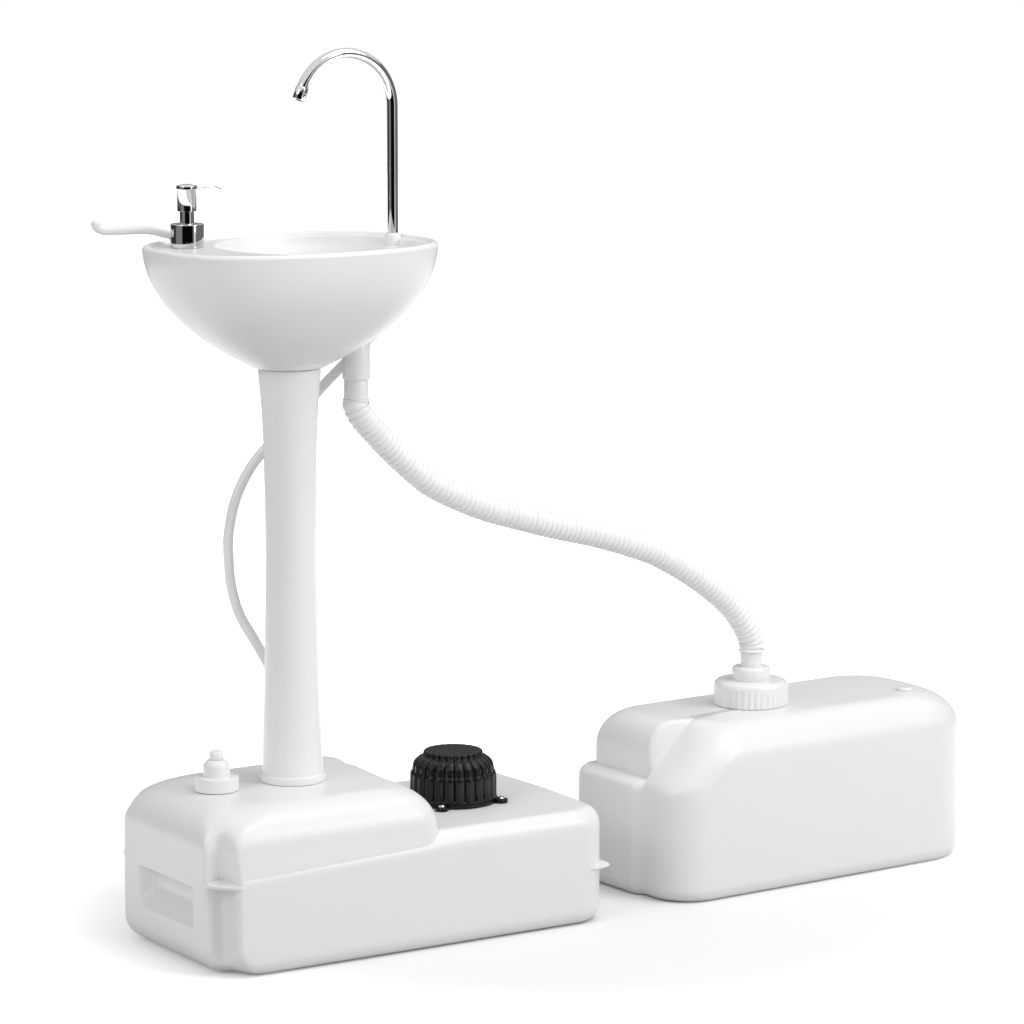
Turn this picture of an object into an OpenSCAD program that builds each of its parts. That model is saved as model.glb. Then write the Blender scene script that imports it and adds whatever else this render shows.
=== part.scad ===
// Knock-down camping wash stand: a foot pump on the base water tank feeds a
// gooseneck faucet, and the basin drains through a ribbed hose to a second tank.
// Units are millimetres. Origin: column axis on the floor, +X along the base
// tank towards the foot pump, +Y to the back, +Z up. Shown as it stands in use.

/* [Base tank] */
// Left end of the base tank, from the column axis
tank_left = -172; // [-200:1:-150]
// Right end of the base tank
tank_right = 360; // [300:1:400]
// Half the base tank's depth
tank_half = 135; // [115:1:150]
// Height of the pump platform
platform_z = 136; // [110:1:150]
// Top of the raised half
tank_top = 187; // [170:1:200]
// Right end of the raised half
raised_right = 129; // [110:1:140]
// Wall thickness of the blow-moulded tanks
wall = 4; // [3:0.5:6]

/* [Column] */
// Seam between column and basin
column_top = 668; // [600:1:700]

/* [Basin] */
// Height of the basin from its foot to its rim
basin_h = 141.5; // [135:0.5:150]
// Drop of the deck below the rim
rim_lip = 3.5; // [2:0.5:6]
// Half the basin's width
basin_a = 170; // [150:1:190]
// Half the basin's depth
basin_b = 127; // [110:1:140]
// Roundness exponent of the rim outline
basin_n = 2.5; // [2:0.1:3]

/* [Faucet] */
// Height of the straight run above the deck
faucet_rise = 152; // [120:1:180]
// Radius of the gooseneck
arc_r = 62; // [50:1:75]
// Degrees that the gooseneck turns
faucet_turn = 158; // [140:1:175]
// Tube radius
tube_r = 6.2; // [5:0.1:8]

/* [Foot pump] */
// Pump axis from the column axis
pump_x = 218; // [200:1:240]
// Radius of the rubber cup
pump_r = 51.5; // [46:0.5:54]
// Number of scallops around the cup
pump_ribs = 24; // [16:1:36]

/* [Recovery tank] */
// Cap axis of the recovery tank
cap_x = 642; // [600:1:700]
cap_y = -11; // [-30:1:30]
// Turn of the recovery tank about its cap
rec_turn = 2.75; // [-10:0.25:10]

/* [Hidden] */
soap = [-104, 48];      // soap pump axis
arm = [-98, 80];        // towel arm pivot
fau = [150, 20];        // faucet axis
drain = [88, 0];        // drain axis
fil = [-100, 0];        // filler cap axis
outl = [30, 50];        // supply outlet axis
vent = [850, -50];      // recovery tank vent axis
valve_x = 9;            // pump valves, each side of the pump axis
screw_out = 6.5;        // pump screws outside the cup's radius
cup_h = 43.5;           // rubber cup, flange to tread
basin_x = 3.5;          // basin's middle from the column axis
rim_z = column_top + basin_h;
deck_z = rim_z - rim_lip;
arc_z = deck_z + faucet_rise;
seat_z = deck_z - 112;   // underside of the bowl at the drain
neck_top = tank_top + 9.6;

white = [0.93, 0.93, 0.92];
black = [0.06, 0.06, 0.065];
chrome = [0.8, 0.81, 0.83];
rubber = [0.1, 0.1, 0.1];
steel = [0.62, 0.63, 0.65];
milky = [0.86, 0.87, 0.86];

// ---- outlines, lofts and swept tubes ----
function unit(v) = v / norm(v);
// n+1 points of the arc of radius r that rounds corner p between a and b
function arc_pts(a, p, b, r, n) =
  let (u = unit(a - p), v = unit(b - p), h = acos(u * v) / 2,
       t = r / tan(h), c = p + unit(u + v) * r / sin(h),
       s0 = p + u * t - c, e0 = p + v * t - c,
       s = atan2(s0.y, s0.x), d = ((atan2(e0.y, e0.x) - s + 540) % 360) - 180)
  [for (i = [0 : n]) c + r * [cos(s + d * i / n), sin(s + d * i / n)]];
// outline through corners [x, y, r], at height z
function outline(k, n, z) = let (m = len(k))
  [for (i = [0 : m - 1])
    for (q = arc_pts([k[(i + m - 1) % m].x, k[(i + m - 1) % m].y], [k[i].x, k[i].y],
                     [k[(i + 1) % m].x, k[(i + 1) % m].y], k[i].z, n)) [q.x, q.y, z]];
function spow(v, e) = sign(v) * pow(abs(v), e);
// superellipse of m points with centre c, half axes a and b, exponent n
function oval(c, a, b, n, z, m = 48) =
  [for (i = [0 : m - 1]) [c + a * spow(cos(360 * i / m), 2 / n), b * spow(sin(360 * i / m), 2 / n), z]];
function ring_round(c, r, z, m = 48) =
  [for (i = [0 : m - 1]) [c.x + r * cos(360 * i / m), c.y + r * sin(360 * i / m), z]];

// one closed solid through rings that all have the same number of points
module loft(rings) {
  m = len(rings[0]);
  k = len(rings);
  polyhedron(points = [for (r = rings) each r],
    faces = concat([[for (i = [0 : m - 1]) i]],
      [for (j = [0 : k - 2], i = [0 : m - 1]) [j * m + i, (j + 1) * m + i, (j + 1) * m + (i + 1) % m]],
      [for (j = [0 : k - 2], i = [0 : m - 1]) [j * m + i, (j + 1) * m + (i + 1) % m, j * m + (i + 1) % m]],
      [[for (i = [m - 1 : -1 : 0]) (k - 1) * m + i]]));
}

// centripetal curve through points p, s steps a span
function cat(a, b, c, d, t) =
  0.5 * (2 * b + (c - a) * t + (2 * a - 5 * b + 4 * c - d) * t * t + (3 * b - a - 3 * c + d) * t * t * t);
function curve(p, s) = let (k = len(p))
  [for (i = [0 : k - 2], j = [0 : s - 1])
    cat(p[max(i - 1, 0)], p[i], p[i + 1], p[min(i + 2, k - 1)], j / s), p[k - 1]];
function tang(p, i) = let (k = len(p)) unit(p[min(i + 1, k - 1)] - p[max(i - 1, 0)]);
// frames carried along the path without twist
function carry(p, i, n) = let (t = tang(p, i)) unit(n - t * (n * t));
function frames(p, n0) =
  [for (i = 0, n = carry(p, 0, n0); i < len(p); i = i + 1, n = i < len(p) ? carry(p, i, n) : n) n];
module tube(p, r, m = 10, n0 = [0, 1, 0]) {
  f = frames(p, n0);
  loft([for (i = [0 : len(p) - 1]) let (t = tang(p, i), n = f[i], b = cross(t, n))
    [for (j = [0 : m - 1]) p[i] + r * (n * cos(360 * j / m) + b * sin(360 * j / m))]]);
}
function helix(r, z0, z1, turns, per) =
  [for (i = [0 : turns * per])
    [r * cos(360 * i / per), r * sin(360 * i / per), z0 + (z1 - z0) * i / (turns * per)]];
module at(c, z = 0) { translate([c.x, c.y, z]) children(); }
module ring(ro, ri, h, fn = 48) {
  difference() {
    cylinder(r = ro, h = h, $fn = fn);
    translate([0, 0, -1]) cylinder(r = ri, h = h + 2, $fn = fn);
  }
}

// ---- base tank ----
// corners of the tank outline: left x, right x, half depth, bow of the right end, radii
function tk(x0, x1, y, bow, rl, rr) =
  [[x0, -y, rl], [x1 - bow, -y, rr], [x1, 0, 600], [x1 - bow, y, rr], [x0, y, rl]];
module tank_outer() {
  L = tank_left;
  R = tank_right;
  H = tank_half;
  P = platform_z;
  Q = raised_right;
  T = tank_top - platform_z - 6;
  // height, then insets of left end, right end and sides, then corner radii left and right
  low = [[0, 34, 14, 12, 22, 30], [2, 24, 8, 6, 24, 34], [6, 14, 4, 2.5, 26, 38], [14, 6, 1, 0.5, 28, 40],
    [32, 0, 0, 0, 30, 40], [P - 20, 0, 0, 0, 30, 40], [P - 12, 0, 1.5, 1, 30, 40],
    [P - 6, 0.2, 5, 3, 30, 40], [P - 2, 0.4, 10, 6, 30, 38], [P, 0.5, 16, 10, 30, 36]];
  // turn of the shoulder and the left end's inset there
  high = [[0, 1.5], [20, 4], [40, 12], [55, 21], [70, 31], [82, 40], [90, 46]];
  loft(concat(
    [for (q = low) outline(tk(L + q[1], R - q[2], H - q[3], 7, q[4], q[5]), 6, q[0])],
    [outline(tk(L + 1, Q, H - 11, 1, 30, 26), 6, P)],
    [for (w = high) let (a = w[0], d = 45 * (1 - cos(a)))
      outline(tk(L + w[1], Q - d, H - 11.5 - d, 1, 30 + a / 5, 26 - a / 6), 6, P + 6 + T * sin(a))]));
}
module tank_inner() {
  L = tank_left;
  R = tank_right;
  H = tank_half - wall;
  P = platform_z - wall;
  Q = raised_right - wall;
  T = tank_top - platform_z - 6;
  low = [[wall, 36, 18, 10], [12, 16, 8, 3], [32, wall, wall, 0], [43, wall, wall, 0], [46, 20, wall, 0],
    [103, 20, wall, 0], [106, wall, wall, 0], [P - 16, wall, wall, 0], [P - 6, wall, 8, 4],
    [P, wall + 1, 18, 9]];
  high = [[0, 3], [20, 5], [40, 12], [55, 21], [70, 31], [90, 45]];
  loft(concat(
    [for (q = low) outline(tk(L + q[1], R - q[2], H - q[3], 7, 62, 38), 6, q[0])],
    [outline(tk(L + wall + 2, Q, H - 12, 1, 62, 24), 6, P)],
    [for (w = high) let (a = w[0], d = 43 * (1 - cos(a)))
      outline(tk(L + wall + w[1], Q - d, H - 13 - d, 1, 62, 24 - a / 6), 6, P + 6 + T * sin(a))]));
}
// V groove down a left corner, with a web left whole at mid height
module corner_groove() {
  for (q = [[24, 79], [106.5, 54]])
    translate([tank_left, -tank_half, q[0]]) linear_extrude(q[1])
      polygon([[-1, 31], [3, 28], [15, 24.5], [23, 3], [24, -1], [-1, -1]]);
}
function screw_at(a) = [pump_x + (pump_r + screw_out) * cos(a), (pump_r + screw_out) * sin(a)];
module base_tank() {
  color(white) difference() {
    union() {
      difference() {
        tank_outer();
        tank_inner();
        at(fil, 150) cylinder(r = 16.5, h = 60, $fn = 40);
      }
      at(fil, tank_top - 5) ring(20, 16.5, neck_top - tank_top + 5, 40);
      // cup that takes the column's plug
      difference() {
        translate([0, 0, 148]) cylinder(r = 38, h = 38, $fn = 60);
        translate([0, 0, 152]) cylinder(r = 33.3, h = 60, $fn = 60);
      }
      // parting-line lug on the front right corner
      translate([tank_right - 47, -tank_half + 40, 0]) rotate([0, 0, -32.5]) rotate([90, 0, 0])
        translate([0, 0, -7]) linear_extrude(14) polygon([[34, 54], [50, 64.5], [50, 66.5], [34, 76]]);
    }
    translate([0, 0, 152]) cylinder(r = 33.3, h = 60, $fn = 60);
    // pump mouth, outlet and the two pump screws' pilot holes
    at([pump_x, 0], 120) cylinder(r = 30, h = 30, $fn = 48);
    at(outl, 170) cylinder(r = 7.05, h = 40, $fn = 32);
    for (a = [45 : 90 : 315]) at(screw_at(a), platform_z - 3.5) cylinder(r = 2, h = 20, $fn = 20);
    // carrying grip in the left end
    translate([tank_left - 10, -72, 0]) rotate([90, 0, 90]) linear_extrude(25)
      translate([0, 52])
        polygon([[6, 0], [121, 0], [127, 6], [127, 36], [119, 45], [8, 45], [0, 37], [0, 6]]);
    corner_groove();
    mirror([0, 1, 0]) corner_groove();
    // shallow scoop in the right shoulder of the raised half
    translate([raised_right + 1.7, 48, tank_top + 1.7]) rotate([0, -45, 0])
      cylinder(r = 24, h = 80, $fn = 48, center = true);
  }
}
module filler_cap() {
  color(white) at(fil) difference() {
    union() {
      translate([0, 0, tank_top + 0.6]) cylinder(r = 25.5, h = neck_top - tank_top + 5.4, $fn = 60);
      translate([0, 0, neck_top + 6]) cylinder(r1 = 25.5, r2 = 24.2, h = 1.4, $fn = 60);
    }
    translate([0, 0, tank_top - 7]) cylinder(r = 20.1, h = neck_top - tank_top + 8.4, $fn = 40);
    translate([0, 0, tank_top - 7]) cylinder(r = 9, h = 60, $fn = 40);
    for (a = [0 : 15 : 345]) rotate([0, 0, a]) translate([26.1, 0, tank_top - 7])
      cylinder(r = 1.3, h = neck_top - tank_top + 11, $fn = 16);
  }
}
module filler_gasket() { color(rubber) at(fil, neck_top + 0.2) ring(19.9, 13, 1.15, 40); }
module vent_barrel() {
  color(white) at(fil, neck_top + 7.4) difference() {
    union() {
      translate([0, 0, -4.4]) cylinder(r = 8.95, h = 5, $fn = 40);
      cylinder(r = 15.7, h = 12, $fn = 48);
      translate([0, 0, 12]) cylinder(r1 = 15.7, r2 = 13.8, h = 4, $fn = 48);
      translate([0, 0, 16]) cylinder(r1 = 13.8, r2 = 10, h = 2.6, $fn = 48);
    }
    translate([0, 0, -8]) cylinder(r = 3, h = 40, $fn = 24);
    translate([0, 0, 4.6]) cylinder(r = 7.05, h = 40, $fn = 32);
  }
}
module vent_tip() {
  color(white) at(fil, neck_top + 7.4) difference() {
    union() {
      translate([0, 0, 4.9]) cylinder(r = 7, h = 14, $fn = 32);
      translate([0, 0, 18.9]) cylinder(r = 8, h = 8.1, $fn = 40);
      translate([0, 0, 27]) cylinder(r1 = 8, r2 = 6.4, h = 2.5, $fn = 40);
    }
    translate([0, 0, 23]) cylinder(r = 4, h = 10, $fn = 24);
  }
}

// ---- foot pump ----
module pump_flange() {
  P = platform_z;
  color(black) at([pump_x, 0]) difference() {
    union() {
      translate([0, 0, P + 1]) cylinder(r = pump_r + 1, h = 3.6, $fn = 72);
      for (a = [45 : 90 : 315]) rotate([0, 0, a]) translate([pump_r + screw_out, 0, P + 1])
        cylinder(r = 8, h = 3.6, $fn = 32);
      translate([0, 0, P - 14]) cylinder(r = 29.9, h = 16, $fn = 48);
      for (s = [-1, 1]) translate([s * valve_x, 0, P - 22]) cylinder(r = 4.8, h = 9, $fn = 24);
    }
    translate([0, 0, P - 10]) cylinder(r = 26, h = 30, $fn = 48);
    for (s = [-1, 1]) translate([s * valve_x, 0, P - 30]) cylinder(r = 3.2, h = 40, $fn = 24);
    for (a = [45 : 90 : 315]) rotate([0, 0, a]) translate([pump_r + screw_out, 0, P - 5])
      cylinder(r = 2.2, h = 20, $fn = 20);
  }
}
module pump_gasket() { color(rubber) at([pump_x, 0], platform_z) ring(pump_r - 1, 30.5, 1, 60); }
// scalloped ring: radius r at the crests, d deep
function scallop(c, r, d, z, m) =
  [for (i = [0 : m - 1]) let (a = 360 * i / m, q = r - d * pow(abs(sin(a * pump_ribs / 2)), 1.5))
    [c.x + q * cos(a), c.y + q * sin(a), z]];
module pump_cup() {
  P = platform_z + 4.6;
  m = pump_ribs * 4;
  c = [pump_x, 0];
  // height, inset of the crests, depth of the scallops
  skirt = [[0, 0, 0], [3, 0, 0], [4, 0, 2.6], [28, 0, 3], [33, 1, 3], [37, 3, 2.6], [40.5, 6, 2],
    [42.7, 9.5, 1], [cup_h, 12, 0]];
  color(black) difference() {
    loft([for (q = skirt) scallop(c, pump_r - q[1], q[2], P + q[0], m)]);
    loft([for (q = [[-1, 9], [30, 9], [38, 12], [50, 19]]) scallop(c, pump_r - q[1], 0, P + q[0], m)]);
  }
}
module pump_tread() {
  P = platform_z + 4.6;
  color(black) at([pump_x, 0]) difference() {
    union() {
      translate([0, 0, P + cup_h]) cylinder(r1 = pump_r - 12.2, r2 = pump_r - 14.2, h = 2, $fn = 96);
      translate([0, 0, P + cup_h + 2]) cylinder(r = pump_r - 14.2, h = 8.8, $fn = 96);
      translate([0, 0, P + cup_h + 10.8]) cylinder(r1 = pump_r - 14.2, r2 = pump_r - 15.4, h = 1.1, $fn = 96);
      translate([0, 0, P + cup_h - 5.5]) ring(10, 8, 6, 36);
    }
    translate([0, 0, P + 54.2]) cylinder(r = 4, h = 4, $fn = 24);
    for (a = [0 : 60 : 300]) rotate([0, 0, a]) translate([12, 0, P + 54.2]) cylinder(r = 2, h = 4, $fn = 16);
    for (a = [0 : 30 : 330]) rotate([0, 0, a]) translate([23, 0, P + 54.2])
      cylinder(r = 2.4, h = 4, $fn = 16);
    for (a = [0 : 15 : 345]) rotate([0, 0, a]) translate([pump_r - 12.8, 0, P + cup_h + 3])
      cylinder(r = 2.4, h = 12, $fn = 16);
  }
}
module pump_spring() {
  color(steel) at([pump_x, 0]) tube(helix(16, platform_z - 8.7, platform_z + 46.6, 6, 10), 1.2, 6, [1, 0, 0]);
}
module inlet_valve() {
  color(rubber) at([pump_x - valve_x, 0], platform_z - 9.7) cylinder(r = 4.6, h = 1.5, $fn = 28);
}
module outlet_valve() { color(rubber) at([pump_x + valve_x, 0], platform_z - 20) ring(3.15, 0.8, 2, 24); }
module pump_screws() {
  color(steel) for (a = [45 : 90 : 315]) at(screw_at(a)) difference() {
    union() {
      translate([0, 0, platform_z - 3]) cylinder(r = 1.95, h = 8, $fn = 20);
      translate([0, 0, platform_z + 4.6]) cylinder(r = 4.6, h = 1.2, $fn = 28);
      translate([0, 0, platform_z + 5.8]) cylinder(r1 = 4.6, r2 = 2.8, h = 1.5, $fn = 28);
    }
    for (b = [0, 90]) rotate([0, 0, b + a]) translate([-2.2, -0.45, platform_z + 6.2]) cube([4.4, 0.9, 3]);
  }
}
module suction_pipe() { color(milky) at([pump_x - valve_x, 0], 20) ring(6.6, 4.85, platform_z - 36, 28); }
module suction_strainer() {
  color(black) at([pump_x - valve_x, 0]) difference() {
    translate([0, 0, 5]) cylinder(r = 10, h = 21, $fn = 32);
    translate([0, 0, 20]) cylinder(r = 6.65, h = 10, $fn = 28);
    translate([0, 0, 8]) cylinder(r = 6, h = 20, $fn = 28);
    for (a = [0 : 45 : 315]) rotate([0, 0, a]) translate([5, -1, 9]) cube([10, 2, 8]);
  }
}
module delivery_hose() {
  V = pump_x + valve_x;
  line = [[V, 0, 114], [V, 0, 104], [V, 0, 94], [pump_x + 4, 8, 74], [pump_x - 30, 26, 62], [140, 44, 70],
    [84, 52, 100], [46, 51, 134], [30, 50, 156], [30, 50, 164], [30, 50, 171.8]];
  color(milky) tube(curve(line, 3), 5, 10);
}
module outlet_fitting() {
  color(white) at(outl) difference() {
    union() {
      translate([0, 0, 172]) cylinder(r = 7, h = 16, $fn = 32);
      translate([0, 0, 187]) cylinder(r = 11, h = 7, $fn = 6);
      translate([0, 0, 194]) cylinder(r = 7.5, h = 6, $fn = 32);
      translate([0, 0, 200]) cylinder(r1 = 5.9, r2 = 5.2, h = 10, $fn = 32);
    }
    translate([0, 0, 171]) cylinder(r = 3, h = 50, $fn = 24);
  }
}

// ---- column ----
// radius at each share of the way up from the foot bead to the seam
col = [[0, 35.3], [0.028, 34.9], [0.099, 34], [0.221, 31.9], [0.386, 30.3], [0.5, 29.4], [0.59, 29.25],
  [0.714, 29.8], [0.83, 30.8], [0.907, 32.6], [0.962, 34.8], [0.981, 35.6]];
module column() {
  Z = column_top;
  T = tank_top;
  H = Z - T - 10;
  foot = [[0, T - 33], [32.6, T - 33], [33.2, T - 29], [33.2, T + 0.2], [37.6, T + 0.2], [38.5, T + 2],
    [38.5, T + 8], [37.6, T + 9.6]];
  head = [[36, Z - 0.6], [33.2, Z - 0.6], [33.2, Z + 24], [0, Z + 24]];
  color(white) difference() {
    rotate_extrude($fn = 72) polygon(concat(foot, [for (q = col) [q[1], T + 10 + H * q[0]]], head));
    rotate_extrude($fn = 72) polygon(concat([[0, T - 37], [29.5, T - 37], [29.5, T]],
      [for (q = col) [q[1] - 4, T + 10 + H * q[0]]], [[29.5, Z], [29.5, Z + 40], [0, Z + 40]]));
  }
}

// ---- basin ----
// half-axis factor of the hull at height z, and its ring with the foot blended in
function hull_f(z) = let (t = min(1, (rim_z - z) / (basin_h + 0.5))) 0.2 + 0.8 * pow(1 - t * t, 1 / 1.2);
function hull_ring(z, m = 48) = let (f = hull_f(z))
  [for (q = oval(basin_x * f, basin_a * f, basin_b * f, basin_n, z, m))
    let (d = norm([q.x, q.y]), k = pow(pow(d, 8) + pow(41.5, 8), 1 / 8) / d) [q.x * k, q.y * k, z]];
// rim: height from the rim, then what it adds to both half axes
rim = [[-5, 0], [-1.6, -1.2], [0, -4.5], [0, -7], [-1, -9], [-rim_lip, -10.5]];
// bowl: depth below the deck, middle, half axes, exponent
bowl = [[0, 38, 118, 112, 2.2], [2, 38, 115.5, 109.5, 2.2], [10, 38, 113, 107, 2.2],
  [21, 36.5, 107, 102, 2.2], [36, 36, 103, 97, 2.2], [51, 37, 98, 90, 2.2], [66, 41, 88, 79, 2.15], [78, 47, 76, 67, 2.1],
  [88, 56, 60, 53, 2.05], [95, 68, 41, 38, 2], [99, 80, 25, 24, 2], [100.5, 88, 18, 18, 2]];
module basin() {
  Z = column_top;
  color(white) difference() {
    union() {
      loft(concat([ring_round([0, 0], 41, Z), ring_round([0, 0], 41.5, Z + 1)],
        [for (h = [4, 7, 11, 17, 25, 36, 50, 66, 84, 104, 122, basin_h - 11]) hull_ring(Z + h)],
        [for (q = rim) oval(basin_x, basin_a + q[1], basin_b + q[1], basin_n, rim_z + q[0])],
        [for (q = bowl) oval(q[1], q[2], q[3], q[4], deck_z - q[0])],
        [ring_round(drain, 16.6, deck_z - 102)]));
      at(drain, seat_z) cylinder(r = 19.5, h = 9.8, $fn = 48);
      at(fau, deck_z - 28) cylinder(r = 14, h = 19, $fn = 48);
    }
    translate([0, 0, Z - 5]) cylinder(r = 33.3, h = 30, $fn = 60);
    at(drain, seat_z - 34) cylinder(r = 11.05, h = 60, $fn = 36);
    at(drain, seat_z - 34) cylinder(r = 16.4, h = 34, $fn = 48);
    at(fau, deck_z - 9) cylinder(r = 9.4, h = 20, $fn = 40);
    at(fau, deck_z - 106) cylinder(r = 6.1, h = 110, $fn = 32);
    at(fau, deck_z - 106) cylinder(r = 11.6, h = 56, $fn = 40);
    at(soap, deck_z - 58) cylinder(r = 17.2, h = 80, $fn = 48);
    at(arm, deck_z - 22) cylinder(r = 5.06, h = 40, $fn = 32);
  }
}
module drain_strainer() {
  color(chrome) at(drain, seat_z) difference() {
    union() {
      translate([0, 0, 10]) cylinder(r = 16.4, h = 2.6, $fn = 48);
      translate([0, 0, -16]) cylinder(r = 11, h = 27, $fn = 36);
    }
    translate([0, 0, -24]) cylinder(r = 9.2, h = 33.4, $fn = 36);
    for (a = [0 : 45 : 315]) rotate([0, 0, a]) translate([6, 0, -4]) cylinder(r = 1.8, h = 30, $fn = 16);
    translate([0, 0, -4]) cylinder(r = 1.8, h = 30, $fn = 16);
    translate([0, 0, 12]) cylinder(r = 12, h = 4, $fn = 40);
  }
}
module drain_gasket() { color(rubber) at(drain, seat_z - 1.5) ring(15.4, 11.1, 1.5, 40); }
module drain_nut() {
  color(white) at(drain, seat_z - 10) difference() {
    cylinder(r = 13.4, h = 8.4, $fn = 6);
    translate([0, 0, -4]) cylinder(r = 11.05, h = 20, $fn = 36);
  }
}
module drain_pipe() {
  color(white) at(drain, seat_z) difference() {
    union() {
      translate([0, 0, -46]) cylinder(r = 16, h = 44.3, $fn = 48);
      translate([0, 0, -54]) cylinder(r1 = 12.6, r2 = 13, h = 8.2, $fn = 48);
    }
    translate([0, 0, -10.1]) cylinder(r = 13.5, h = 12, $fn = 36);
    translate([0, 0, -16.1]) cylinder(r = 11.05, h = 10, $fn = 36);
    translate([0, 0, -64]) cylinder(r = 9.5, h = 60, $fn = 36);
  }
}
module hose_cuff_top() {
  color(white) at(drain, seat_z - 69) difference() {
    cylinder(r = 14.2, h = 22.8, $fn = 40);
    translate([0, 0, 15]) cylinder(r = 13.05, h = 10, $fn = 40);
    translate([0, 0, -1]) cylinder(r = 9.5, h = 30, $fn = 36);
  }
}

// ---- cords, each one closed tube on its own line ----
drain_line = [[88, 0, 625], [88, 0, 622], [88, 0, 617], [95, 0, 604], [112, -1, 585], [136, -1, 561],
  [164, -2, 536], [194, -2, 514], [254, -3, 486], [306, -4, 469], [359, -5, 453], [402, -6, 442],
  [442, -7, 430], [476, -7, 418], [507, -8, 405], [558, -9, 375], [605, -10, 339], [630, -11, 309],
  [642, -11, 286], [642, -11, 279], [642, -11, 274]];
supply_line = [[150, 20, 742], [150, 20, 739], [150, 20, 733], [145, 22, 718], [133, 25, 700],
  [110, 29, 679], [88, 31, 660], [62, 35, 636], [33, 40, 606], [4, 47, 577], [-20, 56, 547],
  [-38, 61, 510], [-45, 66, 468], [-44, 68, 440], [-41, 68, 408], [-32, 65, 374], [-16, 60, 344],
  [-2, 57, 318], [12, 53, 286], [25, 51, 254], [30, 50, 224], [30, 50, 216], [30, 50, 210]];
module drain_hose() { color(white) tube(curve(drain_line, 3), 15, 12, [0, 1, 0]); }
module supply_hose() { color(milky) tube(curve(supply_line, 3), 6, 8, [0, 1, 0]); }

// ---- faucet ----
module faucet_ferrule() {
  color(white) at(fau, deck_z - 9) difference() {
    union() {
      cylinder(r = 9.2, h = 3.5, $fn = 40);
      translate([0, 0, 3.5]) cylinder(r1 = 9.2, r2 = 7.6, h = 3.5, $fn = 40);
      translate([0, 0, -55]) cylinder(r = 6, h = 56, $fn = 32);
    }
    translate([0, 0, -21]) cylinder(r = 4.75, h = 40, $fn = 32);
    translate([0, 0, -57]) cylinder(r = 3, h = 40, $fn = 24);
  }
}
module faucet_nut() {
  color(white) at(fau, deck_z - 57.5) difference() {
    cylinder(r = 10.6, h = 7.4, $fn = 6);
    translate([0, 0, -8]) cylinder(r = 6.03, h = 20, $fn = 32);
  }
}
// both O-rings sit in grooves of the faucet's spigot
ring_z = [deck_z - 24, deck_z - 16];
module faucet_o_rings() {
  color(rubber) for (z = ring_z) at(fau, z)
    rotate_extrude($fn = 36) translate([4.05, 0]) circle(r = 0.65, $fn = 16);
}
module arc_tube(r, a) {
  at(fau, arc_z) translate([-arc_r, 0, 0]) rotate([90, 0, 0])
    rotate_extrude(angle = a, $fn = 90) translate([arc_r, 0]) circle(r = r, $fn = 36);
}
module faucet_tube() {
  color(chrome) difference() {
    union() {
      arc_tube(tube_r, faucet_turn);
      // the upright is drawn down from the arc's start, so their faces meet at any height
      at(fau, arc_z) mirror([0, 0, 1]) cylinder(r = tube_r, h = faucet_rise + 1.7, $fn = 36);
      at(fau, deck_z - 28) cylinder(r = 4.7, h = 28, $fn = 32);
    }
    for (z = ring_z) at(fau, z) rotate_extrude($fn = 36) translate([5.4, 0]) square([4, 1.4], center = true);
    at(fau, deck_z - 36) cylinder(r = 3, h = 60, $fn = 24);
    at(fau, arc_z) mirror([0, 0, 1]) cylinder(r = tube_r - 1.2, h = faucet_rise - 14, $fn = 36);
    arc_tube(tube_r - 1.2, faucet_turn);
  }
}
module nozzle_at() {
  at(fau, arc_z) translate([-arc_r, 0, 0]) rotate([0, -faucet_turn, 0]) translate([arc_r, 0, 0]) children();
}
module faucet_nozzle() {
  color(chrome) nozzle_at() difference() {
    union() {
      translate([0, 0, -2]) cylinder(r = 7.3, h = 13, $fn = 40);
      translate([0, 0, 11]) cylinder(r1 = 7.3, r2 = 6.6, h = 2, $fn = 40);
    }
    translate([0, 0, -3]) cylinder(r = tube_r + 0.08, h = 3, $fn = 36);
    translate([0, 0, -3]) cylinder(r = 4.6, h = 13, $fn = 36);
    for (a = [0 : 60 : 300]) rotate([0, 0, a]) translate([3, 0, 5]) cylinder(r = 0.8, h = 12, $fn = 14);
    translate([0, 0, 12]) cylinder(r = 5.6, h = 3, $fn = 36);
  }
}

// ---- soap pump ----
module soap_bottle() {
  color(milky) at(soap, deck_z - 57.8) difference() {
    cylinder(r = 17, h = 56, $fn = 48);
    translate([0, 0, 2]) cylinder(r = 15.2, h = 60, $fn = 48);
  }
}
module soap_base() {
  color(chrome) at(soap) difference() {
    union() {
      translate([0, 0, deck_z]) cylinder(r = 19, h = 26.5, $fn = 60);
      translate([0, 0, deck_z + 26.5]) cylinder(r1 = 19, r2 = 18.4, h = 0.6, $fn = 60);
      translate([0, 0, deck_z + 20]) cylinder(r = 8.25, h = 32, $fn = 40);
    }
    translate([0, 0, deck_z - 1]) cylinder(r = 16, h = 22, $fn = 48);
    translate([0, 0, deck_z]) cylinder(r = 4.06, h = 60, $fn = 28);
  }
}
module soap_barrel() {
  color(milky) at(soap, deck_z) difference() {
    union() {
      translate([0, 0, -52]) cylinder(r = 8, h = 73, $fn = 36);
      translate([0, 0, -1.8]) cylinder(r = 15.5, h = 2, $fn = 40);
    }
    translate([0, 0, -49]) cylinder(r = 6.3, h = 80, $fn = 32);
    translate([0, 0, -66]) cylinder(r = 2, h = 40, $fn = 20);
  }
}
module soap_stem() {
  color(milky) at(soap, deck_z) difference() {
    union() {
      translate([0, 0, -26]) cylinder(r = 4, h = 94.6, $fn = 28);
      translate([0, 0, -26]) cylinder(r = 6.25, h = 6, $fn = 32);
    }
    translate([0, 0, -36]) cylinder(r = 1.6, h = 120, $fn = 18);
  }
}
module soap_spring() { color(steel) at(soap, deck_z) tube(helix(5, -48.3, -26.7, 6, 10), 0.6, 6, [1, 0, 0]); }
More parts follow.
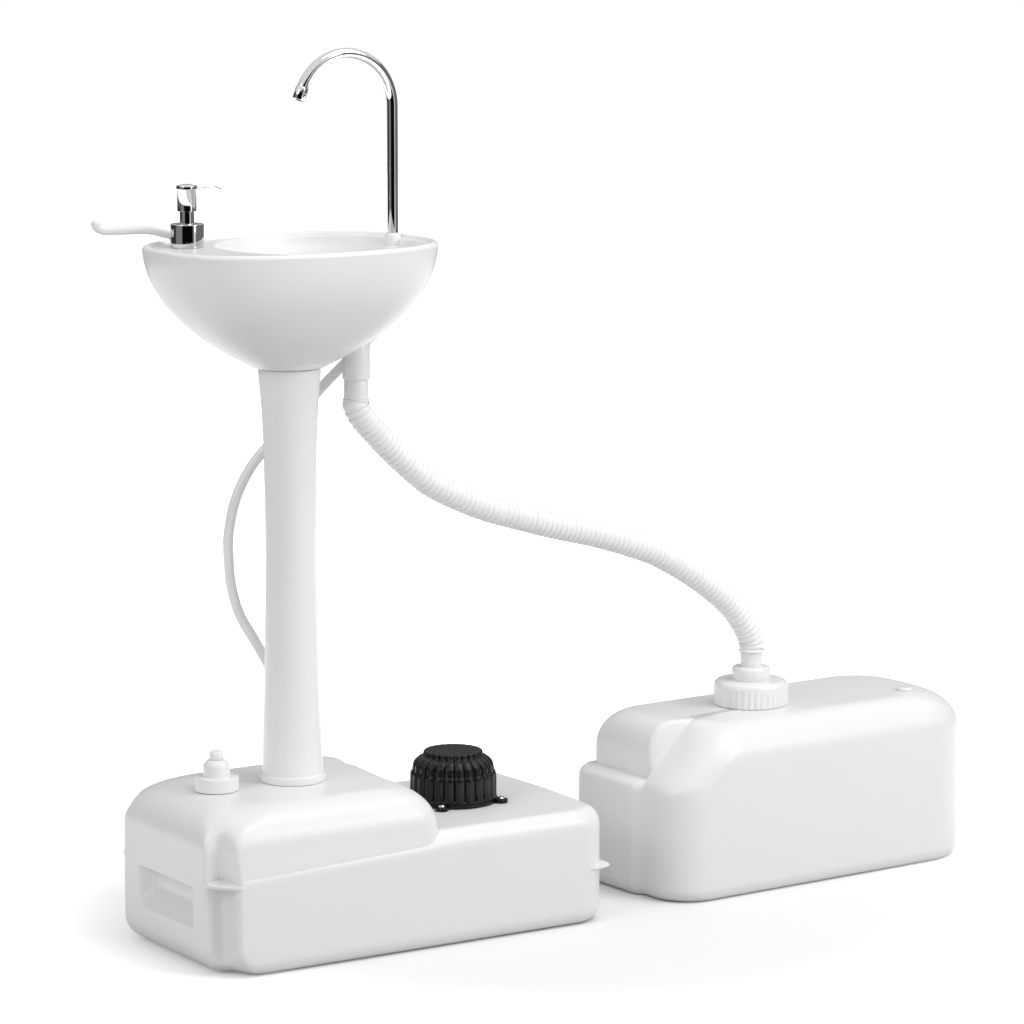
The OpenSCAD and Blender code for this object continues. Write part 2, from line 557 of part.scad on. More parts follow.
module soap_head() {
  Z = deck_z + 41;
  color(chrome) at(soap) difference() {
    union() {
      translate([0, 0, Z]) cylinder(r = 11, h = 25.5, $fn = 48);
      translate([0, 0, Z + 25.5]) cylinder(r = 12, h = 3, $fn = 48);
      translate([0, 0, Z + 28.5]) cylinder(r1 = 12, r2 = 11.2, h = 0.8, $fn = 48);
      translate([0, 0, Z + 27.5]) scale([1, 1, 0.35]) sphere(r = 9, $fn = 36);
      // lever, tapering to its lip
      translate([0, 2.6, 0]) rotate([90, 0, 0]) linear_extrude(5.2)
        translate([0, Z]) polygon([[8, 25.6], [22, 27.2], [34, 27.6], [42.5, 26.4], [44.5, 25.2],
          [44.6, 26.6], [43, 28.4], [34, 30.2], [20, 30.2], [8, 29.2]]);
    }
    translate([0, 0, Z - 1]) cylinder(r = 8.6, h = 25, $fn = 40);
    translate([0, 0, Z]) cylinder(r = 4.05, h = 27.8, $fn = 28);
  }
}

// ---- towel arm ----
// the arm's line from its pivot on the deck to its upturned end
arm_line = [[0, 0, 0], [0, 0, 3], [-1.2, 0.4, 6.5], [-8, 2.9, 11], [-19, 6.8, 14.2], [-28, 10.1, 16.5],
  [-40, 14.5, 17.7], [-60, 21.7, 17.7], [-76, 27.4, 17.8], [-84, 30.3, 19], [-88.5, 31.9, 22.5],
  [-89.5, 32.3, 27]];
module towel_arm() {
  color(white) at(arm, deck_z) union() {
    tube(curve(arm_line, 3), 5, 14, [0, 1, 0]);
    translate([0, 0, -21.5]) cylinder(r = 5, h = 22.5, $fn = 32);
    translate(arm_line[11]) sphere(r = 5.2, $fn = 28);
  }
}

// ---- recovery tank ----
// corners in the tank's own frame about its cap: right end, back, the set-back rear block and front left
function rk(xf, xr, xe, y0, y1, s) = let (re = min(70, (y1 - y0) * 0.34))
  [[xe, (y0 + y1) / 2, 150], [xe - 6, y1, re], [xr, y1, 22 + s], [xr, -12, 6], [xf, -24, 6],
   [xf, y0, 18 + s], [xe - 6, y0, re]];
// height, then x of the front left, rear left and right ends, then the sides' inset
rec = [[163, -153, -174, 281.5, 0], [178, -139, -171, 279, 2.7], [190, -129, -164, 270, 10],
  [200, -119, -153, 256, 20], [206, -107, -138, 240, 32], [208, -96, -124, 232, 45]];
module rec_outer() {
  low = [[0, -164, -190, 268, 14], [2, -170, -196, 276, 7], [6, -175, -200, 280, 3], [14, -177, -202, 283, 0],
    [136, -177, -202, 283, 0], [139, -175, -199, 283, 0], [140, -174, -196, 283, 0]];
  loft(concat(
    [for (q = low) outline(rk(q[1], q[2], q[3], -108 + q[4], 97 - q[4], 0), 5, q[0])],
    [outline(rk(-172, -177, 282, -107, 96, 0), 5, 140)],
    [for (q = rec) outline(rk(q[1], q[2], q[3], -107 + q[4], 96 - q[4], q[4] / 4), 5, q[0])]));
}
module rec_inner() {
  w = 3.6;
  low = [[w, -164, -190, 268, 12], [12, -177, -202, 283, 1], [134, -177, -202, 283, 0],
    [136.2, -174, -198, 283, 0]];
  loft(concat(
    [for (q = low) outline(rk(q[1] + w, q[2] + w, q[3] - w, -108 + w + q[4], 97 - w - q[4], 0), 5, q[0])],
    [outline(rk(-170 + w, -175 + w, 281 - w, -106 + w, 95 - w, 0), 5, 136.4)],
    [for (q = rec)
      outline(rk(q[1] + w, q[2] + w, q[3] - w, -106.5 + w + q[4], 95.5 - w - q[4], q[4] / 4), 5, q[0] - w)]));
}
module recovery_tank() {
  color(white) translate([cap_x, cap_y, 0]) rotate([0, 0, rec_turn]) difference() {
    union() {
      difference() {
        rec_outer();
        rec_inner();
        translate([0, 0, 190]) cylinder(r = 34, h = 60, $fn = 60);
      }
      translate([0, 0, 203]) ring(38, 34, 30, 60);
    }
    rotate([0, 0, -rec_turn]) translate([vent.x - cap_x, vent.y - cap_y, 190])
      cylinder(r = 6.05, h = 30, $fn = 28);
  }
}
module recovery_cap() {
  color(white) at([cap_x, cap_y]) difference() {
    union() {
      translate([0, 0, 208.4]) cylinder(r = 46, h = 28, $fn = 120);
      translate([0, 0, 236.4]) cylinder(r1 = 46, r2 = 44, h = 2.2, $fn = 120);
    }
    translate([0, 0, 200]) cylinder(r = 38.1, h = 34.6, $fn = 60);
    translate([0, 0, 200]) cylinder(r = 12.1, h = 60, $fn = 40);
    for (a = [0 : 10 : 350]) rotate([0, 0, a]) translate([47.6, 0, 200]) cylinder(r = 2.8, h = 36, $fn = 16);
  }
}
module cap_gasket() { color(rubber) at([cap_x, cap_y], 233) ring(37.8, 30, 1.6, 60); }
module cap_ring() {
  color(white) at([cap_x, cap_y]) difference() {
    union() {
      translate([0, 0, 224]) cylinder(r = 12, h = 16, $fn = 40);
      translate([0, 0, 238.6]) cylinder(r = 24, h = 11, $fn = 60);
      translate([0, 0, 249.6]) cylinder(r1 = 24, r2 = 22.6, h = 1.6, $fn = 60);
      translate([0, 0, 251]) cylinder(r = 11, h = 9, $fn = 40);
    }
    translate([0, 0, 220]) cylinder(r = 9, h = 50, $fn = 36);
    for (a = [0 : 15 : 345]) rotate([0, 0, a]) translate([24.9, 0, 230]) cylinder(r = 1.8, h = 18, $fn = 14);
  }
}
module hose_cuff_end() {
  color(white) at([cap_x, cap_y], 251.3) difference() {
    cylinder(r = 13.6, h = 22.7, $fn = 40);
    translate([0, 0, -1]) cylinder(r = 11.05, h = 10, $fn = 40);
    translate([0, 0, -1]) cylinder(r = 9, h = 30, $fn = 36);
  }
}
module vent_plug() {
  color(white) at(vent) union() {
    translate([0, 0, 198]) cylinder(r = 6, h = 11, $fn = 28);
    translate([0, 0, 208.3]) cylinder(r = 9.5, h = 3, $fn = 36);
    translate([0, 0, 211.3]) cylinder(r1 = 9.5, r2 = 8, h = 1.2, $fn = 36);
  }
}

base_tank();
filler_cap();
filler_gasket();
vent_barrel();
vent_tip();
pump_flange();
pump_gasket();
pump_cup();
pump_tread();
pump_spring();
inlet_valve();
outlet_valve();
pump_screws();
suction_pipe();
suction_strainer();
delivery_hose();
outlet_fitting();
column();
basin();
drain_strainer();
drain_gasket();
drain_nut();
drain_pipe();
hose_cuff_top();
drain_hose();
hose_cuff_end();
faucet_ferrule();
faucet_nut();
faucet_o_rings();
faucet_tube();
faucet_nozzle();
supply_hose();
soap_base();
soap_bottle();
soap_barrel();
soap_stem();
soap_spring();
soap_head();
towel_arm();
recovery_tank();
recovery_cap();
cap_gasket();
cap_ring();
vent_plug();
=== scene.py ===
import bpy
import numpy as np
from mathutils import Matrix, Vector


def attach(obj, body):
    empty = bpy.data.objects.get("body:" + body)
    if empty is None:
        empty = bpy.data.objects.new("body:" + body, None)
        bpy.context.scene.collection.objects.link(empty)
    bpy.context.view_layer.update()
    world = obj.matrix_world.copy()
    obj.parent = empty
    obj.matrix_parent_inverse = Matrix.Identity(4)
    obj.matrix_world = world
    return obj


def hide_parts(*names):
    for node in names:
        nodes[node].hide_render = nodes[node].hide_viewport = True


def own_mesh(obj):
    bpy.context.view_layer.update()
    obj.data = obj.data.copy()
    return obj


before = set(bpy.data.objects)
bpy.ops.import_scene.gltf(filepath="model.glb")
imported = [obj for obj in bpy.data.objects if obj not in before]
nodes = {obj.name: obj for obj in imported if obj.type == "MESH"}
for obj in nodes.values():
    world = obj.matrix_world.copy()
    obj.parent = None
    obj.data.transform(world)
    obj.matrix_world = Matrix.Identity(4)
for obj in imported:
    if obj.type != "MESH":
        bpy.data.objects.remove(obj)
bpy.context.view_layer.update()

# ---- Camera and studio ----
# A long lens a little over eye level of the basin, turned to the tank's front left.
# The room is white, with soft lights above, at the right and at the left, and cards
# stand round the object that only bright metal mirrors.
eye = Vector((-2.458, -4.330, 1.306))
turn_deg, down_deg = -32.5, 9.2
focal_px, photo_px = 4400.0, 1024.0

camera_data = bpy.data.cameras.new("camera")
camera_data.sensor_width = 36.0
camera_data.lens = 36.0 * focal_px / photo_px
camera_data.clip_end = 50.0
camera = bpy.data.objects.new("camera", camera_data)
camera.location = eye
camera.rotation_euler = (np.radians(90 - down_deg), 0.0, np.radians(turn_deg))
bpy.context.scene.collection.objects.link(camera)
bpy.context.scene.camera = camera
bpy.context.scene.view_settings.view_transform = "Standard"


def paint(hex_colour):
    """Linear RGBA of an sRGB hex value: (c / 12.92) in the toe, ((c + 0.055) / 1.055) ^ 2.4 above it."""
    c = np.array([int(hex_colour[i : i + 2], 16) / 255 for i in (1, 3, 5)])
    c = np.where(c <= 0.04045, c / 12.92, ((c + 0.055) / 1.055) ** 2.4)
    return (*c.tolist(), 1.0)


def add(tree, kind, links=(), **settings):
    """Adds a node of a kind, sets its properties or inputs by name, and links (output socket, input name) pairs."""
    n = tree.nodes.new(kind)
    for key, value in settings.items():
        if hasattr(n, key):
            setattr(n, key, value)
        else:
            n.inputs[key.replace("_", " ")].default_value = value
    for source, name in links:
        tree.links.new(source, n.inputs[name])
    return n


def shown_rays(tree):
    """1 on the rays that show the room itself: the largest of the camera, glossy and transmission flags."""
    path = add(tree, "ShaderNodeLightPath")
    shown = path.outputs["Is Camera Ray"]
    for kind in ("Is Glossy Ray", "Is Transmission Ray"):
        shown = add(tree, "ShaderNodeMath", [(shown, 0), (path.outputs[kind], 1)], operation="MAXIMUM").outputs[0]
    return shown


world = bpy.data.worlds.new("white room")
bpy.context.scene.world = world
world.use_nodes = True
tree = world.node_tree
tree.nodes.clear()
strength = add(tree, "ShaderNodeMapRange", [(shown_rays(tree), "Value")])
# the room lights the object less than it shows, so white parts keep their shading
strength.inputs["To Min"].default_value = 0.59
strength.inputs["To Max"].default_value = 1.0
sky = add(tree, "ShaderNodeBackground", [(strength.outputs[0], "Strength")])
sky.inputs["Color"].default_value = (1, 1, 1, 1)
add(tree, "ShaderNodeOutputWorld", [(sky.outputs[0], "Surface")])


def softbox(name, place, aim, size, watts):
    """A square area light of a size in metres at place, turned to aim."""
    data = bpy.data.lights.new(name, "AREA")
    data.shape, data.size, data.energy = "SQUARE", size, watts
    lamp = bpy.data.objects.new(name, data)
    lamp.location = place
    lamp.rotation_euler = (Vector(aim) - Vector(place)).to_track_quat("-Z", "Y").to_euler()
    bpy.context.scene.collection.objects.link(lamp)


softbox("overhead", (1.0, -0.9, 3.1), (0.3, 0.0, 0.3), 1.8, 30)
softbox("right side", (2.6, -3.4, 2.3), (0.3, 0.0, 0.5), 1.8, 64)
softbox("left side", (-3.4, -0.9, 2.4), (0.0, 0.0, 0.4), 1.6, 27)


def strip_of(name, points, material):
    """A strip in metres: four-cornered faces between the first half of the points and the second half."""
    mesh = bpy.data.meshes.new(name)
    half = len(points) // 2
    mesh.from_pydata(points, [], [(i, i + 1, half + i + 1, half + i) for i in range(half - 1)])
    mesh.materials.append(material)
    strip = bpy.data.objects.new(name, mesh)
    bpy.context.scene.collection.objects.link(strip)
    return strip


# White paper sweep: matt under the object, where it keeps the shadow, and brighter with
# distance until it meets the white of the room. Light that it throws back is dimmed.
middle, reach = (0.36, 0.0, 0.0), (0.76, 0.80)
paper = bpy.data.materials.new("white paper sweep")
paper.use_nodes = True
tree = paper.node_tree
tree.nodes.clear()
shown = shown_rays(tree)
tone = add(tree, "ShaderNodeMix", [(shown, "Factor")], data_type="RGBA")
tone.inputs["A"].default_value = paint("#C4C4C4")
tone.inputs["B"].default_value = paint("#F2F2F2")
matt = add(tree, "ShaderNodeBsdfDiffuse", [(tone.outputs["Result"], "Color")])
where = add(tree, "ShaderNodeTexCoord")
spread = add(tree, "ShaderNodeVectorMath", [(where.outputs["Object"], 0)], operation="SUBTRACT")
spread.inputs[1].default_value = middle
spread = add(tree, "ShaderNodeVectorMath", [(spread.outputs[0], 0)], operation="MULTIPLY")
spread.inputs[1].default_value = (1 / reach[0], 1 / reach[1], 0.0)
spread = add(tree, "ShaderNodeVectorMath", [(spread.outputs[0], 0)], operation="LENGTH")
fade = add(tree, "ShaderNodeMapRange", [(spread.outputs["Value"], "Value")], interpolation_type="SMOOTHSTEP")
fade.inputs["From Min"].default_value = 0.46
fade.inputs["From Max"].default_value = 1.20
fade = add(tree, "ShaderNodeMath", [(fade.outputs[0], 0), (shown, 1)], operation="MULTIPLY")
glow = add(tree, "ShaderNodeEmission", [(fade.outputs[0], "Strength")])
both = add(tree, "ShaderNodeAddShader", [(matt.outputs[0], 0), (glow.outputs[0], 1)])
add(tree, "ShaderNodeOutputMaterial", [(both.outputs[0], "Surface")])
# half a millimetre under the tanks, so that no two faces lie in one plane
strip_of("floor", [(x, y, -0.0005) for y in (-9, 9) for x in (-9, 9)], paper)

# Upright cards all round, mirrored by bright metal and lighting nothing: black behind the
# camera, grey at the sides, and a gap at the right that leaves one white stripe. Each has
# its bearings in degrees and its tone.
card_r, card_x, card_low, card_high = 3.3, 0.1, -0.1, 2.4
cards = {
    "card black": (-155, -83, "#0A0A0A"), "card left": (-201, -155, "#8C8C8C"),
    "card dark": (-251, -201, "#3A3A3A"), "card back": (-300, -251, "#8E8E8E"),
    "card right edge": (-83, -74, "#808080"), "card right": (-62, 60, "#7C7C7C"),
}
for card_name, (start, end, tone) in cards.items():
    sheet = bpy.data.materials.new(card_name)
    sheet.use_nodes = True
    sheet.node_tree.nodes.clear()
    glow = add(sheet.node_tree, "ShaderNodeEmission", Color=paint(tone))
    add(sheet.node_tree, "ShaderNodeOutputMaterial", [(glow.outputs[0], "Surface")])
    bearing = np.radians(np.linspace(start, end, 13))
    points = [(card_x + card_r * np.cos(a), card_r * np.sin(a), z) for z in (card_low, card_high) for a in bearing]
    card = strip_of(card_name, points, sheet)
    card.visible_camera = card.visible_diffuse = card.visible_shadow = False

# ---- Drain hose ----
# Corrugated polyethylene hose, 32 mm over its crests, blown in a chain mould with a
# ring every 7 mm. It is pushed into a cuff at each end and hangs between them.
drain_route = [
    (88, 0, 625), (88, 0, 622), (88, 0, 617), (95, 0, 604), (112, -1, 585), (136, -1, 561), (164, -2, 536),
    (194, -2, 514), (254, -3, 486), (306, -4, 469), (359, -5, 453), (402, -6, 442), (442, -7, 430), (476, -7, 418),
    (507, -8, 405), (558, -9, 375), (605, -10, 339), (630, -11, 309), (642, -11, 286), (642, -11, 279),
    (642, -11, 274),
]
hose_crest, hose_root, ring_pitch = 16.0, 13.6, 7.0


def through(points, steps):
    """Catmull-Rom curve: each span is a cubic through its points, with slopes half the chord of their neighbours."""
    p = np.array(points, float)
    p = np.concatenate([p[:1], p, p[-1:]])
    a, b, c, d = (p[i : len(p) - 3 + i, None] for i in range(4))
    t = (np.arange(steps) / steps)[None, :, None]
    q = 0.5 * (2 * b + (c - a) * t + (2 * a - 5 * b + 4 * c - d) * t**2 + (3 * b - a - 3 * c + d) * t**3)
    return np.concatenate([q.reshape(-1, q.shape[-1]), p[-1:]])


def evenly(line, count):
    """The same line as count points at equal distances along it, and its length."""
    s = np.concatenate([[0], np.cumsum(np.linalg.norm(np.diff(line, axis=0), axis=1))])
    at = np.linspace(0, s[-1], count)
    return np.stack([np.interp(at, s, line[:, k]) for k in range(3)], 1), s[-1]


def carried(line, radius, around, level):
    """Circles carried square to a line: centre + r (cos u n + sin u b), n being level made square to the line."""
    t = np.gradient(line, axis=0)
    t /= np.linalg.norm(t, axis=1, keepdims=True)
    n = np.array(level, float) - t * (t @ np.array(level, float))[:, None]
    n /= np.linalg.norm(n, axis=1, keepdims=True)
    b = np.cross(t, n)
    u = np.linspace(0, 2 * np.pi, around, endpoint=False)
    r = np.broadcast_to(np.asarray(radius, float), (len(line),))[:, None, None]
    return line[:, None] + r * (np.cos(u)[None, :, None] * n[:, None] + np.sin(u)[None, :, None] * b[:, None])


def skin(name, p, material, crease=35):
    """A mesh through a grid p[row, column] in mm whose columns close, with a fan to the middle at each end."""
    rows, cols = p.shape[:2]
    verts = np.concatenate([p.reshape(-1, 3), p[0].mean(0)[None], p[-1].mean(0)[None]])
    i, j = np.meshgrid(np.arange(rows - 1), np.arange(cols), indexing="ij")
    k = (j + 1) % cols
    quads = np.stack([i * cols + j, i * cols + k, (i + 1) * cols + k, (i + 1) * cols + j], -1).reshape(-1, 4)
    first = np.arange(cols)
    last = (rows - 1) * cols + first
    start_fan = np.stack([np.roll(first, -1), first, np.full(cols, rows * cols)], 1)
    end_fan = np.stack([last, np.roll(last, -1), np.full(cols, rows * cols + 1)], 1)
    faces = quads.tolist() + start_fan.tolist() + end_fan.tolist()
    mesh = bpy.data.meshes.new(name)
    mesh.from_pydata((verts * 0.001).tolist(), [], faces)
    mesh.polygons.foreach_set("use_smooth", [True] * len(mesh.polygons))
    mesh.set_sharp_from_angle(angle=np.radians(crease))
    mesh.materials.append(material)
    piece = bpy.data.objects.new(name, mesh)
    bpy.context.scene.collection.objects.link(piece)
    return piece


def moulded(name, colour, rough, grain_mm=1.6, dent=0.05, through_light=0.0, cloud=0.0):
    """Moulded plastic: a colour with a faint cloud, a gloss that varies a little, and a grain of a size in mm."""
    m = bpy.data.materials.new(name)
    m.use_nodes = True
    t = m.node_tree
    shade = t.nodes["Principled BSDF"]
    shade.inputs["IOR"].default_value = 1.49
    where = add(t, "ShaderNodeTexCoord")
    drift = add(t, "ShaderNodeTexNoise", [(where.outputs["Object"], "Vector")], Scale=9.0, Detail=3.0)
    gloss = add(t, "ShaderNodeMapRange", [(drift.outputs["Fac"], "Value")])
    gloss.inputs["To Min"].default_value = rough - 0.05
    gloss.inputs["To Max"].default_value = rough + 0.05
    t.links.new(gloss.outputs[0], shade.inputs["Roughness"])
    dark = tuple(v * (1 - cloud) for v in paint(colour)[:3]) + (1.0,)
    tint = add(t, "ShaderNodeMix", [(drift.outputs["Fac"], "Factor")], data_type="RGBA")
    tint.inputs["A"].default_value = paint(colour)
    tint.inputs["B"].default_value = dark
    t.links.new(tint.outputs["Result"], shade.inputs["Base Color"])
    grain = add(t, "ShaderNodeTexNoise", [(where.outputs["Object"], "Vector")], Scale=1000.0 / grain_mm, Detail=2.0)
    bump = add(t, "ShaderNodeBump", [(grain.outputs["Fac"], "Height")], Strength=dent, Distance=0.0008)
    t.links.new(bump.outputs[0], shade.inputs["Normal"])
    if through_light:
        shade.inputs["Subsurface Weight"].default_value = through_light
        shade.inputs["Subsurface Radius"].default_value = (0.006, 0.006, 0.006)
        shade.inputs["Subsurface Scale"].default_value = 1.0
    return m


# Corrugated polyethylene lets a little light through and has a soft gloss.
hose_plastic = moulded("blown polyethylene hose", "#F3F3F2", 0.36, grain_mm=3.0, dent=0.02, through_light=0.15)
drain_line = through(drain_route, 12)
hose_rings = 1100
hose_middle, hose_length = evenly(drain_line, hose_rings)
wave = np.abs(np.cos(np.pi * np.linspace(0, hose_length, hose_rings) / ring_pitch)) ** 0.7
hose_r = hose_root + (hose_crest - hose_root) * wave
drain_hose = skin("drain_hose_corrugated", carried(hose_middle, hose_r, 28, (0, 1, 0)), hose_plastic, crease=60)
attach(drain_hose, "stand")
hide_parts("drain_hose")

# ---- Supply hose ----
# Thin 12 mm PVC tube from the pump's outlet on the tank up to the faucet's shank,
# looped behind the column by its own stiffness.
supply_route = [
    (150, 20, 742), (150, 20, 739), (150, 20, 733), (145, 22, 718), (133, 25, 700), (110, 29, 679), (88, 31, 660),
    (62, 35, 636), (33, 40, 606), (4, 47, 577), (-20, 56, 547), (-38, 61, 510), (-45, 66, 468), (-44, 68, 440),
    (-41, 68, 408), (-32, 65, 374), (-16, 60, 344), (-2, 57, 318), (12, 53, 286), (25, 51, 254), (30, 50, 224),
    (30, 50, 216), (30, 50, 210),
]
supply_radius = 6.0
# Soft PVC, milky with the white pigment, smoother than the blown parts.
pvc = moulded("soft white PVC tube", "#F1F1F0", 0.28, grain_mm=4.0, dent=0.01, through_light=0.2)
supply_line = through(supply_route, 10)
supply_middle, supply_length = evenly(supply_line, 260)
supply_hose = skin("supply_hose_tube", carried(supply_middle, supply_radius, 24, (0.3, 1, 0.1)), pvc)
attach(supply_hose, "stand")
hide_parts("supply_hose")

# ---- Base tank ----
# Blow-moulded polyethylene tank of about 19 litres. Its left half stands higher and
# carries the column, its right half is the pump's platform, and a grip is moulded in
# the left end. A groove with a web across it runs down each left corner.
tank_left, tank_right, tank_half = -172.0, 360.0, 135.0
platform_z, tank_top, raised_right = 136.0, 187.0, 129.0
foot_round, corner_r = 32.0, 50.0


def rounded(x, y, r, arc, shares):
    """Outlines [ring, point] through corners x, y rounded to radius r, with points at shares of each straight run."""
    p = np.stack([x, y], -1)
    a = np.roll(p, 1, 1) - p
    b = np.roll(p, -1, 1) - p
    a /= np.linalg.norm(a, axis=-1, keepdims=True)
    b /= np.linalg.norm(b, axis=-1, keepdims=True)
    half = np.arccos(np.clip((a * b).sum(-1), -1, 1)) / 2
    mid = (a + b) / np.linalg.norm(a + b, axis=-1, keepdims=True)
    c = p + mid * (r / np.sin(half))[..., None]
    t = (r / np.tan(half))[..., None]
    s, e = p + a * t, p + b * t
    start = np.arctan2(*np.moveaxis(s - c, -1, 0)[::-1])
    sweep = (np.arctan2(*np.moveaxis(e - c, -1, 0)[::-1]) - start + 3 * np.pi) % (2 * np.pi) - np.pi
    angle = start[..., None] + sweep[..., None] * np.linspace(0, 1, arc)
    arcs = c[:, :, None] + r[..., None, None] * np.stack([np.cos(angle), np.sin(angle)], -1)
    w = shares[None, :, :, None]
    runs = e[:, :, None] * (1 - w) + np.roll(s, -1, 1)[:, :, None] * w
    return np.concatenate([arcs, runs], 2).reshape(len(p), -1, 2)


def edge_in(z, start, end, depth):
    """How far a rounded edge has come in at height z: a quarter ellipse from nothing at start to depth at end."""
    k = np.clip((z - start) / (end - start), 0, 1)
    return depth * (1 - np.sqrt(1 - k**2))


def ease(v, low, high):
    """0 below low, 1 above high, and a smooth 3t^2 - 2t^3 between."""
    t = np.clip((v - low) / (high - low), 0, 1)
    return t * t * (3 - 2 * t)


# points down the left wall lie close together at the grip's two upright edges
left_wall_y = np.concatenate([
    np.linspace(83, 62, 8), np.linspace(59, 44, 11), np.linspace(38, -63, 21),
    [-67, -69.5, -70.8, -71.4, -71.9, -72.4, -72.9, -73.4, -74.2, -75.6], np.linspace(-77, -83.5, 7),
])
corner_points, wall_points = 33, len(left_wall_y)
even = np.linspace(0, 1, wall_points + 2)[1:-1]
left_shares = (tank_half - corner_r - left_wall_y) / (2 * (tank_half - corner_r))
tank_shares = np.stack([even, even, even, even, left_shares])


def rings_of(x0, x1, y0, y1, bow, r_left, r_right, z):
    """Tank rings at heights z between x0..x1 and y0..y1, the right end bowed out, as a grid of points."""
    x = np.stack([x0, x1 - bow, x1, x1 - bow, x0], 1)
    y = np.stack([y0, y0, (y0 + y1) / 2, y1, y1], 1)
    r = np.stack([r_left, r_right, np.full_like(z, 500.0), r_right, r_left], 1)
    flat = rounded(x, y, r, corner_points, tank_shares)
    return np.concatenate([flat, np.broadcast_to(z[:, None, None], (*flat.shape[:2], 1))], -1)


def sealed(p, inward, steps):
    """A flat middle for a ring: rings drawn towards their own centre, so the cap's faces stay small."""
    c = p.mean(0, keepdims=True)
    k = np.linspace(1, inward, steps)[1:, None, None]
    return c + (p[None] - c) * k


def grooved(p, share, web):
    """Turns both left corners' arcs in plan into a V: wall, lip, vertex, lip, face, softened by a running mean.

    share is how far each ring's points go to that line. Where web is 1 the vertex lies midway between the lips,
    and 3 mm further out at the front.
    """
    behind = 4 * (corner_points + wall_points)
    fine, mean_of = 241, 25
    for first, front in ((0, True), (behind, False)):
        own = p[:, first : first + corner_points]
        own = own if front else own[:, ::-1]
        wall, face = own[:, 0, :2], own[:, -1, :2]
        gap = face - wall
        near_wall = wall + gap * [0, 0.36 if front else 0.2]
        near_face = wall + gap * [0.54, 1]
        vertex = wall + gap * [0.48, 0.34]
        web_out = (near_wall + near_face) / 2 - 2.2 * front
        vertex = vertex + (web_out - vertex) * web[:, None]
        corner = np.stack([wall, near_wall, vertex, near_face, face], 1)
        leg = np.cumsum(np.linalg.norm(np.diff(corner, axis=1), axis=2), axis=1)
        leg = np.concatenate([np.zeros((len(p), 1)), leg / leg[:, -1:]], 1)
        s = np.linspace(0, 1, fine)
        path = np.stack([[np.interp(s, leg[i], corner[i, :, k]) for k in (0, 1)] for i in range(len(p))])
        soft = np.pad(path, ((0, 0), (0, 0), (mean_of // 2, mean_of // 2)), mode="edge")
        total = np.cumsum(np.concatenate([0 * soft[..., :1], soft], -1), -1)
        soft = (total[..., mean_of:] - total[..., :-mean_of]) / mean_of
        soft[..., 0], soft[..., -1] = path[..., 0], path[..., -1]
        at = np.linspace(0, fine - 1, corner_points).round().astype(int)
        v = np.moveaxis(soft[..., at], 1, -1)
        own[..., :2] += (v - own[..., :2]) * share[:, None, None]


# heights of the lower body's rings, close together at the grip's top edge and at the web
low_z = np.concatenate([
    foot_round * (1 - np.cos(np.linspace(0, np.pi / 2, 14))), np.arange(34, 49, 3.0), np.linspace(49, 58, 8),
    np.linspace(60, 72, 7), np.linspace(75, 92, 6),
    [94, 95.2, 96, 96.6, 97.2, 97.8, 98.6, 100, 101.4, 102.2, 102.8, 103.3, 103.9],
    [105, 106, 106.6, 107.1, 107.8, 109, 110.6, 112.3],
])
edge_z = platform_z - 22
body_z = np.concatenate([low_z, edge_z + 22 * np.sin(np.linspace(0, np.pi / 2, 18))])
low_left = edge_in(foot_round - body_z, 0, foot_round, 34)
low_side = edge_in(18 - body_z, 0, 18, 13)
left_edge = edge_in(body_z, 108, 134.01, 12)
right_edge = edge_in(body_z, edge_z, platform_z + 0.01, 17)
body = rings_of(
    tank_left + low_left + left_edge, tank_right - low_side - right_edge, low_side - tank_half, tank_half - low_side,
    7.0, corner_r + 0 * body_z, 40 - 0.4 * low_side, body_z,
)
web = ease(body_z, 102.4, 103.4) * (1 - ease(body_z, 106.2, 107.2))
grooved(body, 0.45 + 0.55 * ease(body_z, 8, 34), web)
# the long sides' upper edge: a wide round along the platform, and on the raised half a
# narrow ledge that climbs a little to the right
run_x = np.clip((body[..., 0] + 142) / 270, 0, 1)
ledge = edge_in(body[..., 2] - 9 * run_x, 105, 122, 14)
platform_edge = edge_in(body[..., 2], edge_z, platform_z + 0.01, 17)
come_in = ledge + (platform_edge - ledge) * ease(body[..., 0], 96, 140)
body[..., 1] -= np.sign(body[..., 1]) * come_in * np.clip(np.abs(body[..., 1]) / (tank_half - 4), 0, 1) ** 6
# carrying grip: a pocket 14 mm deep with crisp top and front edges, its bottom sloping out in two steps
y, z = body[..., 1], body[..., 2]
grip_y = ease(y, -73.4, -71.4) * (1 - ease(y, 44, 58))
grip_z = (0.4 * ease(z, 47, 60) + 0.6 * ease(z, 58, 76)) * (1 - ease(z, 96, 97.8))
body[..., 0] += 14 * grip_y * grip_z * (body[..., 0] < -150)

# the raised half starts inside the body, flares at its foot and falls away to its top
foot_turn = np.linspace(0, np.pi / 2, 9)
round_turn = np.linspace(0, np.pi / 2, 28)
wall_z = np.concatenate([
    [103, 106, 110, 114, 118, 122, 126, 130, 133, 135.7], platform_z + 6 * (1 - np.cos(foot_turn)),
    platform_z + 6 + (tank_top - platform_z - 6) * np.sin(round_turn[1:]),
])
fall = np.concatenate([np.zeros(19), 45 * (1 - np.cos(round_turn[1:]))])
flare = np.concatenate([np.full(10, 2.4), 2.4 * (1 - np.sin(foot_turn)), np.zeros(27)])
lean = 1.2 + 3.3 * ease(wall_z, 108, 150)
raised = rings_of(
    tank_left + 0.05 + 1.25 * fall, raised_right - fall + flare, -tank_half + lean + fall, tank_half - lean - fall,
    1.0, corner_r - lean + 0.4 * fall, 30 + 0.2 * fall, wall_z,
)
web = 1 - ease(wall_z, 106, 107)
grooved(raised, (1 - 0.25 * ease(wall_z, 108, 120)) * (1 - ease(wall_z, 148, 178)), web)


